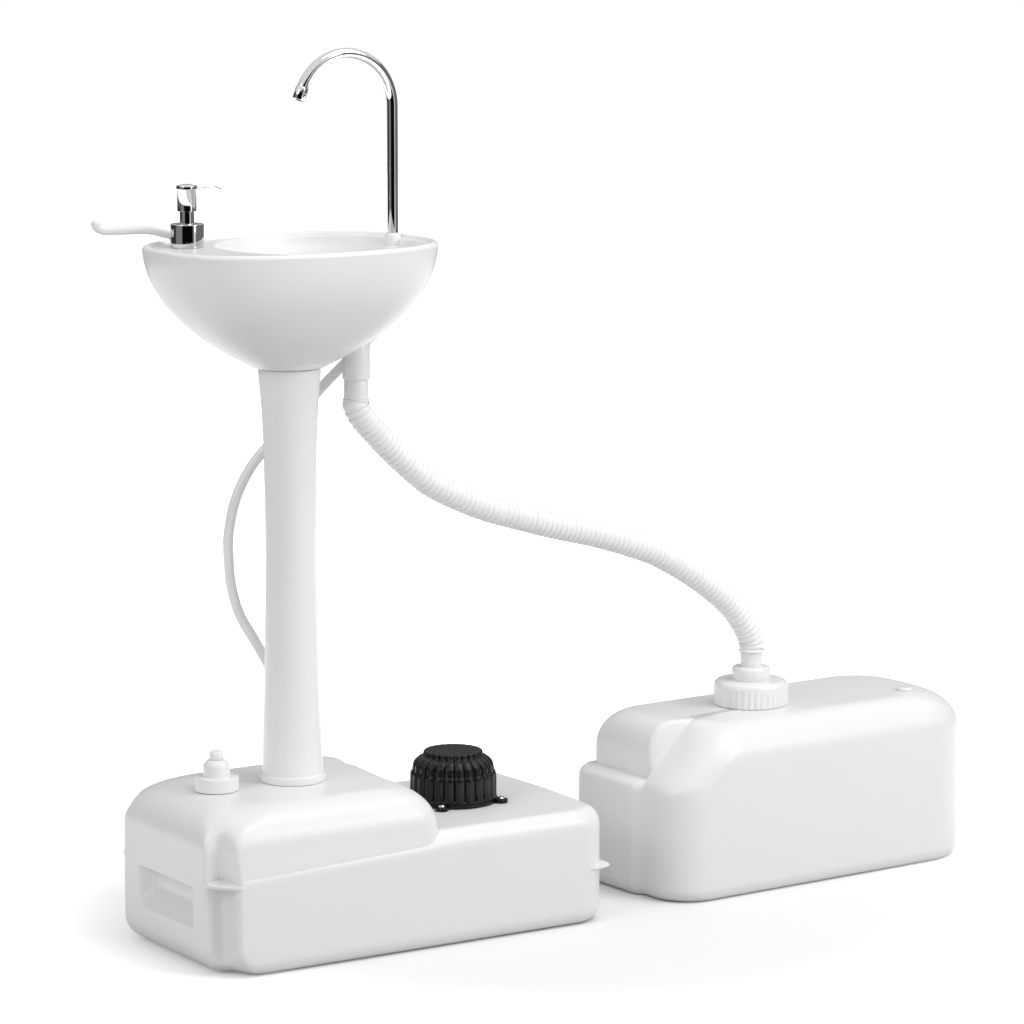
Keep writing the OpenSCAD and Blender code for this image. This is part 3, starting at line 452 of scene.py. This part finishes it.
def scooped(p, start, along, radius):
    """Pushes points out of a cylinder of a radius about a line, as a shallow dish pressed into a shoulder."""
    along = np.array(along) / np.linalg.norm(along)
    d = p - np.array(start)
    d -= (d @ along)[..., None] * along
    far = np.linalg.norm(d, axis=-1)
    p += d * (np.maximum(far, radius) / far - 1)[..., None]


# the top climbs a little towards the back right corner
raised[..., 2] += 4.5 * ease(raised[..., 0], 20, 105) * ease(raised[..., 1], -40, 90) * ease(raised[..., 2], 150, 182)
scooped(raised, (raised_right + 1.7, 50, tank_top + 3), (1, 0, -1), 29)
# Blow-moulded polyethylene: satin, slightly waxy white with a soft orange-peel skin.
hdpe = moulded("blow-moulded polyethylene", "#ECECEC", 0.34, grain_mm=5.0, dent=0.10, through_light=0.10, cloud=0.02)
# The platform round the pump is stippled in the mould: the same skin with bumps 4 mm apart.
stippled = moulded(
    "blow-moulded polyethylene, stippled", "#ECECEC", 0.34, grain_mm=4.0, dent=0.55, through_light=0.10, cloud=0.02
)
body = np.concatenate([sealed(body[0], 0.05, 8)[::-1], body, sealed(body[-1], 0.05, 14)])
raised = np.concatenate([sealed(raised[0], 0.05, 4)[::-1], raised, sealed(raised[-1], 0.05, 12)])
tank_low = skin("base_tank_body", body, hdpe, crease=50)
tank_high = skin("base_tank_raised_half", raised, hdpe, crease=50)
tank_low.data.materials.append(stippled)
middles = np.empty(3 * len(tank_low.data.polygons), np.float32)
tank_low.data.polygons.foreach_get("center", middles)
x, y, z = middles.reshape(-1, 3).T
on_platform = (z > 0.1355) & (x > 0.14) & (x < 0.33) & (np.abs(y) < 0.105)
tank_low.data.polygons.foreach_set("material_index", on_platform.astype(np.int32))
# a flat fin on the front right corner, where the mould pinched the parison off: an oval,
# longer than it is wide, shrunk towards its root from its rim down
u = np.linspace(0, 2 * np.pi, 48, endpoint=False)
fin_x, fin_y = 37.5 + 16.5 * np.cos(u), 23 * np.sin(u) * np.abs(np.sin(u)) ** 0.4
fin_rows = np.array([
    (-6.5, 0.35), (-5, 0.5), (-3, 0.72), (-1, 0.93), (-0.4, 0.99), (0, 1.0), (0.5, 0.99), (0.9, 0.95),
])
fin_z, grow, fin_root = 66, fin_rows[:, 1, None], 30
fin_u, fin_v = fin_root + (fin_x - fin_root)[None] * grow, fin_y[None] * grow
fin_turn = np.radians(-40)
fin = np.stack([
    tank_right - 47 + fin_u * np.cos(fin_turn) - fin_v * np.sin(fin_turn),
    -tank_half + 40 + fin_u * np.sin(fin_turn) + fin_v * np.cos(fin_turn),
    np.broadcast_to(fin_z + fin_rows[:, :1], fin_u.shape),
], -1)
# it ends in the plane of the tank's front
fin[..., 1] = np.maximum(fin[..., 1], 0.1 - tank_half)
tank_fin = skin("base_tank_fin", fin, hdpe, crease=50)
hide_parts("base_tank")
for piece in (tank_low, tank_high, tank_fin):
    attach(piece, "stand")

# ---- Column ----
# Moulded tube, waisted at mid height, plugged into the tank's socket and into the basin.
column_rows = [
    (187.2, 36.8), (188.2, 38.1), (190.5, 38.5), (194, 38.5), (196, 37.9), (197.2, 35.6), (210.2, 34.9), (243.6, 34),
    (301.1, 31.9), (378.8, 30.3), (432.5, 29.4), (474.9, 29.25), (533.3, 29.8), (587.9, 30.8), (624.2, 32.6),
    (650.1, 34.8), (662, 35.8), (666.4, 35.6), (667.2, 34.4),
]
smooth_plastic = moulded("injection-moulded ABS", "#EDEDED", 0.30, grain_mm=6.0, dent=0.05, through_light=0.06)


def turned(centre, rows, around=96, ribs=0, power=1.0):
    """Rows of (height, radius, rib depth) swung about an upright axis: r - depth (1 - |sin(ribs u / 2)|^power)."""
    q = np.array([(*row, 0.0)[:3] for row in rows], float)
    u = np.linspace(0, 2 * np.pi, around, endpoint=False)
    dip = 1 - np.abs(np.sin(ribs * u / 2)) ** power if ribs else np.zeros_like(u)
    r = q[:, 1, None] - q[:, 2, None] * dip[None]
    z = np.broadcast_to(q[:, 0, None], r.shape)
    return np.stack([centre[0] + r * np.cos(u), centre[1] + r * np.sin(u), z], -1)


column_smooth = np.concatenate([column_rows[:6], through(column_rows[6:17], 6), column_rows[17:]])
column = skin("column_tube", turned((0, 0), column_smooth, 128), smooth_plastic, crease=40)
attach(column, "stand")
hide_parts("column")

# ---- Basin ----
# Injection-moulded oval basin, double-walled at the rim: the hull outside is a deep
# superellipse that narrows to a foot on the column, and the bowl inside slopes to the drain.
rim_z, deck_z, rim_a, rim_b, rim_n, lip_r = 809.5, 806.0, 170.0, 127.0, 2.5, 5.0
middle_x, foot_r, seam_z, hull_depth = 3.5, 41.5, 668.0, 142.0
# the bowl's rings: depth under the deck, centre's x, half length, half width, and power
bowl_rows = [
    (0, 38, 118, 112, 2.2), (0.5, 38, 116.6, 110.6, 2.2), (2, 38, 115.5, 109.5, 2.2), (10, 38, 113, 107, 2.2),
    (21, 36.5, 107, 102, 2.2), (36, 36, 103, 97, 2.2), (51, 37, 98, 90, 2.2), (66, 41, 88, 79, 2.15),
    (78, 47, 76, 67, 2.1), (88, 56, 60, 53, 2.05), (95, 68, 41, 38, 2), (99, 80, 25, 24, 2), (100.5, 88, 18, 18, 2),
    (102, 88, 16.6, 16.6, 2),
]


def oval(centre_x, a, b, n, z, around=192):
    """Superellipse rings: x = c + a |cos u|^(2/n), y = b |sin u|^(2/n), each with its quadrant's sign."""
    u = np.linspace(0, 2 * np.pi, around, endpoint=False)
    c, s = np.cos(u)[None], np.sin(u)[None]
    e = 2 / np.asarray(n, float)[:, None]
    x = np.asarray(centre_x)[:, None] + np.asarray(a)[:, None] * np.sign(c) * np.abs(c) ** e
    y = np.asarray(b)[:, None] * np.sign(s) * np.abs(s) ** e
    return np.stack([x, y, np.broadcast_to(np.asarray(z)[:, None], x.shape)], -1)


foot_z = seam_z + 0.6 + np.array([0, 0.8, 2.5, 5, 8, 11, 14, 18])
hull_z = np.concatenate([foot_z, np.linspace(seam_z + 22, rim_z - 8, 60)])
deep = np.minimum(1, (rim_z - hull_z) / hull_depth)
share = 0.2 + 0.8 * (1 - deep**2) ** (1 / 1.2)
hull = oval(middle_x * share, rim_a * share, rim_b * share, rim_n + 0 * hull_z, hull_z)
# the foot's radius and the hull's are blended by their eighth powers, as a small fillet
plan_r = np.linalg.norm(hull[..., :2], axis=-1)
foot_line = foot_r - np.array([1.2, 0.3, 0, 0, 0, 0, 0, 0] + [0] * 60)[:, None]
hull[..., :2] *= ((plan_r**8 + foot_line**8) ** (1 / 8) / plan_r)[..., None]
lip = np.linspace(-0.35, np.pi, 18)
lip_a = rim_a - lip_r + lip_r * np.cos(lip)
lip_z = rim_z - lip_r + lip_r * np.sin(lip)
lip_z = np.where(lip > np.pi / 2, deck_z + (rim_z - deck_z) * np.sin(lip), lip_z)
rim = oval(middle_x + 0 * lip, lip_a, lip_a - (rim_a - rim_b), rim_n + 0 * lip, lip_z)
deck = oval([middle_x] * 2, [159.4, 158.8], [116.4, 115.8], [rim_n] * 2, [deck_z, deck_z])
bowl_smooth = np.concatenate([bowl_rows[:1], through(bowl_rows[1:13], 6), bowl_rows[13:]])
depth, bowl_x, bowl_a, bowl_b, bowl_n = bowl_smooth.T
bowl = oval(bowl_x, bowl_a, bowl_b, bowl_n, deck_z - depth)
basin_skin = np.concatenate([hull, rim, deck, bowl, sealed(bowl[-1], 0.2, 3)])
basin = skin("basin_shell", basin_skin, smooth_plastic, crease=45)
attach(basin, "stand")
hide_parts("basin")
faucet_xy, drain_xy = (150.0, 20.0), (88.0, 0.0)
boss_rows = [(770, 12.5), (780, 14), (795.6, 14), (796.6, 13.5), (797, 12.6)]
boss = skin("basin_faucet_boss", turned(faucet_xy, boss_rows, 64), smooth_plastic)
collar_rows = [(694, 18.6), (694.8, 19.5), (705, 19.5)]
collar = skin("basin_drain_collar", turned(drain_xy, collar_rows, 64), smooth_plastic)
for piece in (boss, collar):
    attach(piece, "stand")

# ---- Drain under the basin ----
# White pipe on the strainer's tail, stepped down to a push-on cuff for the hose.
pipe_rows = [(640, 12.6), (647.6, 13), (648, 15.2), (648.8, 16), (691, 16), (692.2, 15.4)]
pipe = skin("drain_pipe_body", turned(drain_xy, pipe_rows, 64), smooth_plastic)
cuff_rows = [(624.8, 13.2), (625.4, 14.0), (626.4, 14.2), (646.8, 14.2), (647.7, 13.6), (647.7, 12)]
cuff = skin("drain_cuff_top", turned(drain_xy, cuff_rows, 64), smooth_plastic)
for piece, node in ((pipe, "drain_pipe"), (cuff, "hose_cuff_top")):
    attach(piece, "stand")
    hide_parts(node)

# ---- Faucet ----
# Gooseneck of chrome-plated tube, 12.4 mm, bent to 62 mm radius, with an aerator screwed
# on its end. It turns in a white ferrule on the basin's boss.
tube_r, bend_r, bend_z, bend_deg = 6.2, 62.0, 958.0, 158.0


def plated(name, colour, rough):
    """Bright plating: metal with a faint waviness from the polished tube under it."""
    m = bpy.data.materials.new(name)
    m.use_nodes = True
    t = m.node_tree
    shade = t.nodes["Principled BSDF"]
    shade.inputs["Metallic"].default_value = 1.0
    shade.inputs["Base Color"].default_value = paint(colour)
    where = add(t, "ShaderNodeTexCoord")
    wear = add(t, "ShaderNodeTexNoise", [(where.outputs["Object"], "Vector")], Scale=60.0, Detail=3.0)
    gloss = add(t, "ShaderNodeMapRange", [(wear.outputs["Fac"], "Value")])
    gloss.inputs["To Min"].default_value = rough * 0.6
    gloss.inputs["To Max"].default_value = rough * 1.4
    t.links.new(gloss.outputs[0], shade.inputs["Roughness"])
    bump = add(t, "ShaderNodeBump", [(wear.outputs["Fac"], "Height")], Strength=0.03, Distance=0.0004)
    t.links.new(bump.outputs[0], shade.inputs["Normal"])
    return m


chrome = plated("chrome plating", "#D2D4D6", 0.06)
bend = np.radians(np.linspace(0, bend_deg, 60))
upright_z = np.linspace(deck_z - 1.7, bend_z, 12)[:-1]
neck_x = np.concatenate([0 * upright_z, bend_r * np.cos(bend) - bend_r]) + faucet_xy[0]
neck_z = np.concatenate([upright_z, bend_z + bend_r * np.sin(bend)])
neck = np.stack([neck_x, 0 * neck_x + faucet_xy[1], neck_z], 1)
gooseneck = skin("faucet_gooseneck", carried(neck, tube_r, 48, (0, 1, 0)), chrome)
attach(gooseneck, "faucet")
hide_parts("faucet_tube")
# the aerator's rows: distance along the tube's end, and radius
aerator_rows = np.array([
    (-2.4, 6.4), (-2, 7.0), (-1.4, 7.3), (3.6, 7.3), (4, 6.9), (4.6, 6.9), (5, 7.3), (11, 7.3), (12.4, 7.0),
    (13, 6.4), (13, 5.8), (11.6, 5.6), (11.4, 0.5),
])
end_dir = np.array([-np.sin(bend[-1]), 0, np.cos(bend[-1])])
end_side = np.cross((0, 1, 0), end_dir)
end_line = neck[-1] + end_dir * aerator_rows[:, :1]
u = np.linspace(0, 2 * np.pi, 64, endpoint=False)[:, None]
ring = np.cos(u) * np.array([0, 1, 0]) + np.sin(u) * end_side
aerator = skin("faucet_aerator", end_line[:, None] + aerator_rows[:, 1, None, None] * ring[None], chrome, crease=30)
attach(aerator, "faucet")
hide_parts("faucet_nozzle")
ferrule_rows = [(797, 9.2), (808.2, 9.2), (809.2, 8.9), (811.4, 7.9), (812, 7.2), (812, 6.5)]
ferrule = skin("faucet_ferrule_cap", turned(faucet_xy, ferrule_rows, 64), smooth_plastic)
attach(ferrule, "stand")

# ---- Soap pump ----
# Chrome-plated brass base on the basin's deck, a neck, and a push-down head with its lever spout.
soap_xy = (-104.0, 48.0)
base_rows = [
    (806, 18.4), (806.6, 19), (831.8, 19), (832.6, 18.7), (833, 18.1), (833, 9), (833.4, 8.4), (834.4, 8.25),
    (857.6, 8.25), (858, 7.8), (858, 4.2),
]
soap_base = skin("soap_base_plated", turned(soap_xy, base_rows, 96), chrome, crease=30)
head_rows = [
    (870.8, 4.1), (870.8, 8.6), (847.4, 8.7), (847, 9.2), (847, 10.5), (847.5, 11), (871.8, 11), (872.4, 11.4),
    (872.8, 12), (875.2, 12), (876, 11.6), (876.3, 10.8), (875.6, 9.6), (876.2, 8.4), (877.2, 5.8), (877.6, 3),
    (877.7, 0.4),
]
soap_head = skin("soap_head_plated", turned(soap_xy, head_rows, 96), chrome, crease=40)
# the lever rises a little and dips at its end, and tapers to a lip
lever_x = np.linspace(8, 45, 26)[:, None]
rise = 1.4 * np.sin(np.pi * np.clip((lever_x - 8) / 40, 0, 1)) ** 0.9 - 2.4 * ease(lever_x, 34, 45)
taper_x = [8, 20, 36, 43, 45]
half_thick = np.interp(lever_x, taper_x, [1.9, 1.6, 1.3, 1.05, 0.5])
half_wide = np.interp(lever_x, taper_x, [3.6, 3.1, 2.5, 2.2, 1.2])
u = np.linspace(0, 2 * np.pi, 28, endpoint=False)
lever = np.stack([
    soap_xy[0] + lever_x + 0 * u, soap_xy[1] + half_wide * np.cos(u), 872.3 + rise + half_thick * np.sin(u),
], -1)
soap_lever = skin("soap_lever", lever, chrome, crease=50)
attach(soap_base, "stand")
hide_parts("soap_base")
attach(soap_head, "soap_spout")
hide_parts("soap_head")
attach(soap_lever, "soap_spout")

# ---- Towel arm ----
# White coated rod, 10 mm, turning in a hole of the deck, with an upturned end.
arm_xy = (-98.0, 80.0)
arm_route = [
    (0, 0, 800), (0, 0, 806), (0, 0, 809), (-1.2, 0.4, 812.5), (-8, 2.9, 817), (-19, 6.8, 820.2), (-28, 10.1, 822.6),
    (-40, 14.5, 823.6), (-60, 21.7, 823.6), (-75, 27.1, 823.6), (-82, 29.7, 824.6), (-86.6, 31.4, 827.4),
    (-88.1, 32, 831),
]
arm_line = evenly(through(arm_route, 8) + np.array([*arm_xy, 0]), 90)[0]
# the end swells to 12.2 mm and closes in a round
tip_turn = np.linspace(0, np.pi / 2, 8)[1:]
arm_line = np.concatenate([arm_line, arm_line[-1] + np.outer(5.6 * np.sin(tip_turn), [-0.1, 0.03, 0.99])])
arm_r = np.concatenate([np.linspace(0, 1, 90) ** 12 * 1.1 + 5, np.maximum(6.1 * np.cos(tip_turn), 0.05)])
towel_arm = skin("towel_arm_rod", carried(arm_line, arm_r, 32, (0.34, 0.94, 0)), smooth_plastic, crease=60)
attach(towel_arm, "towel_bar")
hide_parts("towel_arm")

# ---- Filler cap ----
# Smooth screw cap over the filling neck, with a push-pull vent on it like a bottle's.
filler_xy = (-100.0, 0.0)
filler_rows = [
    (187.6, 24.8), (188.1, 25.4), (201.4, 25.4), (202.4, 25.3), (203.5, 24.9), (204, 24.1), (204, 15),
]
filler = skin("filler_cap_smooth", turned(filler_xy, filler_rows, 128), smooth_plastic, crease=40)
barrel_rows = [
    (204, 15.9), (204.8, 15.6), (213.6, 15.6), (216.4, 15.3), (218.8, 14.2), (220.8, 12.5), (222.2, 10.6),
    (222.9, 9.3), (222.9, 7.1),
]
barrel = skin("vent_barrel_domed", turned(filler_xy, barrel_rows, 96), smooth_plastic, crease=50)
# the tip is left natural, a little clearer than the pigmented cap
natural = moulded("natural polyethylene", "#EDEFF0", 0.30, grain_mm=4.0, dent=0.02, through_light=0.35)
tip_rows = [
    (216, 7), (223, 7), (223.1, 8), (223.8, 8.4), (228.6, 8.3), (231, 7.6), (232.7, 6.3), (233.4, 4.8), (233, 3.6),
    (230, 3.3), (229.8, 0.4),
]
tip = skin("vent_tip_knob", turned(filler_xy, tip_rows, 72), natural, crease=50)
cap_pieces = {
    "filler_cap": (filler, "filler_closure"), "vent_barrel": (barrel, "filler_closure"),
    "vent_tip": (tip, "vent_nozzle"),
}
for node, (piece, body_name) in cap_pieces.items():
    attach(piece, body_name)
    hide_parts(node)

# ---- Foot pump ----
# Black rubber cup with deep scallops on a screwed flange, and a tread plate over it that
# the foot pushes down; the cup gives way and springs back.
pump_xy, pump_ribs = (218.0, 0.0), 24
pump_rubber = moulded("black moulded rubber", "#0B0B0C", 0.30, grain_mm=1.2, dent=0.05)
pump_rubber.node_tree.nodes["Principled BSDF"].inputs["Specular IOR Level"].default_value = 0.32
flange_rows = [(136.6, 51), (137, 52.2), (137.6, 52.6), (140, 52.6), (140.6, 52), (140.6, 40)]
flange = skin("pump_flange_plate", turned(pump_xy, flange_rows, 144), pump_rubber, crease=40)
# an ear for each of the four screws, on a circle of 58 mm
ear_rows = [(136.6, 7.6), (137.2, 8), (140, 8), (140.6, 7.4), (140.6, 2)]
ear_turns = np.radians([45, 135, 225, 315])
ears = [
    skin(f"pump_ear_{i}", turned((pump_xy[0] + 58 * np.cos(a), 58 * np.sin(a)), ear_rows, 40), pump_rubber, crease=40)
    for i, a in enumerate(ear_turns)
]
for piece in (flange, *ears):
    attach(piece, "stand")
cup_rows = [
    (140.6, 51.3, 0), (142.6, 51.5, 0), (143.6, 51.5, 1.2), (145, 51.5, 3), (156, 51.5, 3.4), (167, 51.4, 3.4),
    (170, 51, 3.1), (171.8, 50.2, 2.7), (173, 49.2, 2.6), (175, 48.7, 3), (178, 48.4, 3.3), (180.6, 47.9, 3.3),
    (182.6, 47.1, 3.1), (184.1, 46.1, 2.9), (184.1, 30, 0),
]
cup_skin = turned(pump_xy, cup_rows, 480, ribs=pump_ribs, power=0.55)
cup = skin("pump_cup_scalloped", cup_skin, pump_rubber, crease=60)
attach(cup, "stand")
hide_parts("pump_cup")
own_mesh(cup)
tread_rows = [
    (184.1, 30, 0), (184.1, 46.1, 2.9), (185.6, 45, 2.8), (187.2, 43.4, 2.6), (188.8, 41.2, 2.3), (190.1, 38.6, 2),
    (190.8, 36.6, 2.2), (191.2, 35.8, 2.4), (194.6, 35.4, 2.2), (196.2, 34.8, 1.8), (197, 33.8, 1.2),
    (197.1, 32.6, 0.5), (196.8, 31.8, 0), *((196.6, r, 0) for r in np.linspace(31, 1, 34)),
]
tread_skin = turned(pump_xy, tread_rows, 384, ribs=pump_ribs, power=0.55)
# grip: three rings of pits 1.6 mm deep in the top, given by radius, count and first bearing
pits = []
for r, count, first in ((6.5, 4, 0.4), (15, 9, 0), (23.5, 14, 0.2)):
    a = np.linspace(0, 2 * np.pi, count, endpoint=False) + first
    pits.append(np.stack([pump_xy[0] + r * np.cos(a), r * np.sin(a)], 1))
pits = np.concatenate(pits)
near = np.linalg.norm(tread_skin[..., None, :2] - pits, axis=-1).min(-1)
tread_skin[..., 2] -= 1.6 * np.exp(-((near / 2.5) ** 4)) * (tread_skin[..., 2] > 196.5)
tread = skin("pump_tread_plate", tread_skin, pump_rubber, crease=60)
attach(tread, "pump_top")
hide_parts("pump_tread")
bright_steel = plated("zinc-plated steel", "#B9BBBE", 0.22)

# ---- Recovery tank ----
# Second blow-moulded tank for the waste water, with a set-back block at its left end,
# a bevelled front corner and a large screw cap. It stands a little turned.
cap_xy, rec_turn = (642.0, -11.0), np.radians(2.75)
rec_front, rec_block, rec_upper, rec_right, rec_y0, rec_y1 = -194, -202, -176, 283, -108, 97
rec_foot, rec_wall_top, rec_arc_z, rec_top = 16, 140, 162, 208


def recovery_rings(front, rear, right, y0, y1, soft, z, arc=16, run=44):
    """Recovery tank rings in its own frame: front left, bowed right end, rear left block and the step between."""
    right_r = np.minimum(70, (y1 - y0) * 0.34)
    x = np.stack([front, right - 6, right, right - 6, rear, rear, front], 1)
    y = np.stack([y0, y0, (y0 + y1) / 2, y1, y1, np.full_like(z, -24.0), np.full_like(z, -35.0)], 1)
    bow_r, inner_r, outer_r = np.full_like(z, 150.0), np.full_like(z, 8.0), np.full_like(z, 3.0)
    r = np.stack([48 - 0.3 * soft, right_r, bow_r, right_r, 22 + soft, inner_r, outer_r], 1)
    flat = rounded(x, y, r, arc, np.broadcast_to(np.linspace(0, 1, run + 2)[1:-1], (7, run)))
    return np.concatenate([flat, np.broadcast_to(z[:, None, None], (*flat.shape[:2], 1))], -1)


def bevelled(z):
    """How far the front corner leans in above 136 mm, its foot softened: 5.5 ln(1 + e^((z - 136) / 5))."""
    return 5.5 * np.log1p(np.exp((z - 136) / 5))


foot_z = rec_foot * (1 - np.cos(np.linspace(0, np.pi / 2, 10)))
shelf_z = rec_wall_top - 16 * np.cos(np.linspace(0, np.pi / 2, 9))[1:]
low_z = np.concatenate([foot_z, np.linspace(18, 124, 26), shelf_z])
low_in = edge_in(rec_foot - low_z, 0, rec_foot, 9)
shelf_in = edge_in(low_z, 126, rec_wall_top + 0.01, 12)
rec_low = recovery_rings(
    rec_front + low_in + bevelled(low_z), rec_block + low_in + shelf_in, rec_right - low_in, rec_y0 + low_in,
    rec_y1 - low_in, 0 * low_in, low_z,
)
upper_turn = np.linspace(0, np.pi / 2, 26)
dome_z = rec_arc_z + (rec_top - rec_arc_z) * np.sin(upper_turn)
up_z = np.concatenate([np.linspace(rec_wall_top, rec_arc_z, 6)[:-1], dome_z])
up_in = np.concatenate([np.zeros(5), 45 * (1 - np.cos(upper_turn))])
right_in = np.concatenate([np.zeros(5), 51 * (1 - np.cos(upper_turn))])
# the bevel levels off below 66 mm
bevel = bevelled(up_z) / (1 + (bevelled(up_z) / 66) ** 4) ** 0.25
rec_up = recovery_rings(
    rec_front + bevel + 0.5 * up_in, rec_upper + 0.8 * up_in, rec_right - right_in, rec_y0 + up_in,
    rec_y1 - 0.6 * up_in, up_in / 4, up_z,
)
rec = np.concatenate([sealed(rec_low[0], 0.05, 8)[::-1], rec_low, rec_up, sealed(rec_up[-1], 0.05, 10)])
x = rec[..., 0] * np.cos(rec_turn) - rec[..., 1] * np.sin(rec_turn)
y = rec[..., 0] * np.sin(rec_turn) + rec[..., 1] * np.cos(rec_turn)
rec[..., 0], rec[..., 1] = x + cap_xy[0], y + cap_xy[1]
recovery = skin("recovery_tank_shell", rec, hdpe, crease=50)
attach(recovery, "stand")
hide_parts("recovery_tank")

# ---- Recovery cap ----
# Screw cap with shallow flutes, the smooth nut of the hose adapter on it, the hose's end
# cuff, and the tank's vent plug.
cap_rows = [
    (208.4, 44.6), (209, 45.8, 1.1), (226, 45.8, 1.1), (229.5, 45.8, 0.7), (232, 45.6, 0.2), (235.2, 44.6, 0),
    (237.3, 42.6, 0), (238.4, 39.8, 0), (238.6, 36, 0), (238.6, 24, 0),
]
cap = skin("recovery_cap_ribbed", turned(cap_xy, cap_rows, 432, ribs=36), smooth_plastic, crease=50)
nut_rows = [(238.6, 23.4), (239.2, 23.9), (249.6, 23.9), (252.4, 23.4), (254.2, 22.2), (254.8, 20.4), (254.8, 13)]
nut = skin("cap_ring_smooth", turned(cap_xy, nut_rows, 96), smooth_plastic, crease=50)
end_cuff_rows = [(251.2, 13.2), (252, 13.6), (272.6, 13.6), (273.8, 13.1), (274.2, 12.2)]
end_cuff = skin("hose_cuff_lower", turned(cap_xy, end_cuff_rows, 64), smooth_plastic, crease=50)
for piece, node in ((cap, "recovery_cap"), (nut, "cap_ring"), (end_cuff, "hose_cuff_end")):
    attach(piece, "stand")
    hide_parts(node)
plug_xy = (850, -50)
plug_rows = [(200, 6), (208, 6), (208.1, 9), (208.8, 9.5), (211, 9.5), (212.2, 8.6), (212.5, 7), (212.5, 0.4)]
plug = skin("vent_plug_disc", turned(plug_xy, plug_rows, 48), smooth_plastic, crease=50)
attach(plug, "recovery_vent")
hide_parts("vent_plug")

# ---- Pieces left as the frame has them ----
# Seals, screws, springs, valves and the pipes inside the tank keep their solids and
# get the finish of their own stuff.
seal = moulded("black EPDM rubber", "#1A1A1B", 0.6, grain_mm=1.0, dent=0.08)
milky = moulded("natural polypropylene", "#DDDEDC", 0.3, grain_mm=4.0, dent=0.03, through_light=0.3)
finish_of = {
    seal: [
        "filler_gasket", "pump_gasket", "inlet_valve", "outlet_valve", "drain_gasket", "faucet_o_rings", "cap_gasket",
    ],
    bright_steel: ["pump_screws", "pump_spring", "soap_spring"],
    pump_rubber: ["pump_flange", "suction_strainer"],
    milky: ["suction_pipe", "delivery_hose", "soap_bottle", "soap_barrel", "soap_stem"],
    chrome: ["drain_strainer"],
    smooth_plastic: ["outlet_fitting", "drain_nut", "faucet_ferrule", "faucet_nut"],
}
for material, names in finish_of.items():
    for name in names:
        nodes[name].data.materials.clear()
        nodes[name].data.materials.append(material)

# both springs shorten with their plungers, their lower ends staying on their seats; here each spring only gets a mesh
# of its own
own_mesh(nodes["pump_spring"])
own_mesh(nodes["soap_spring"])
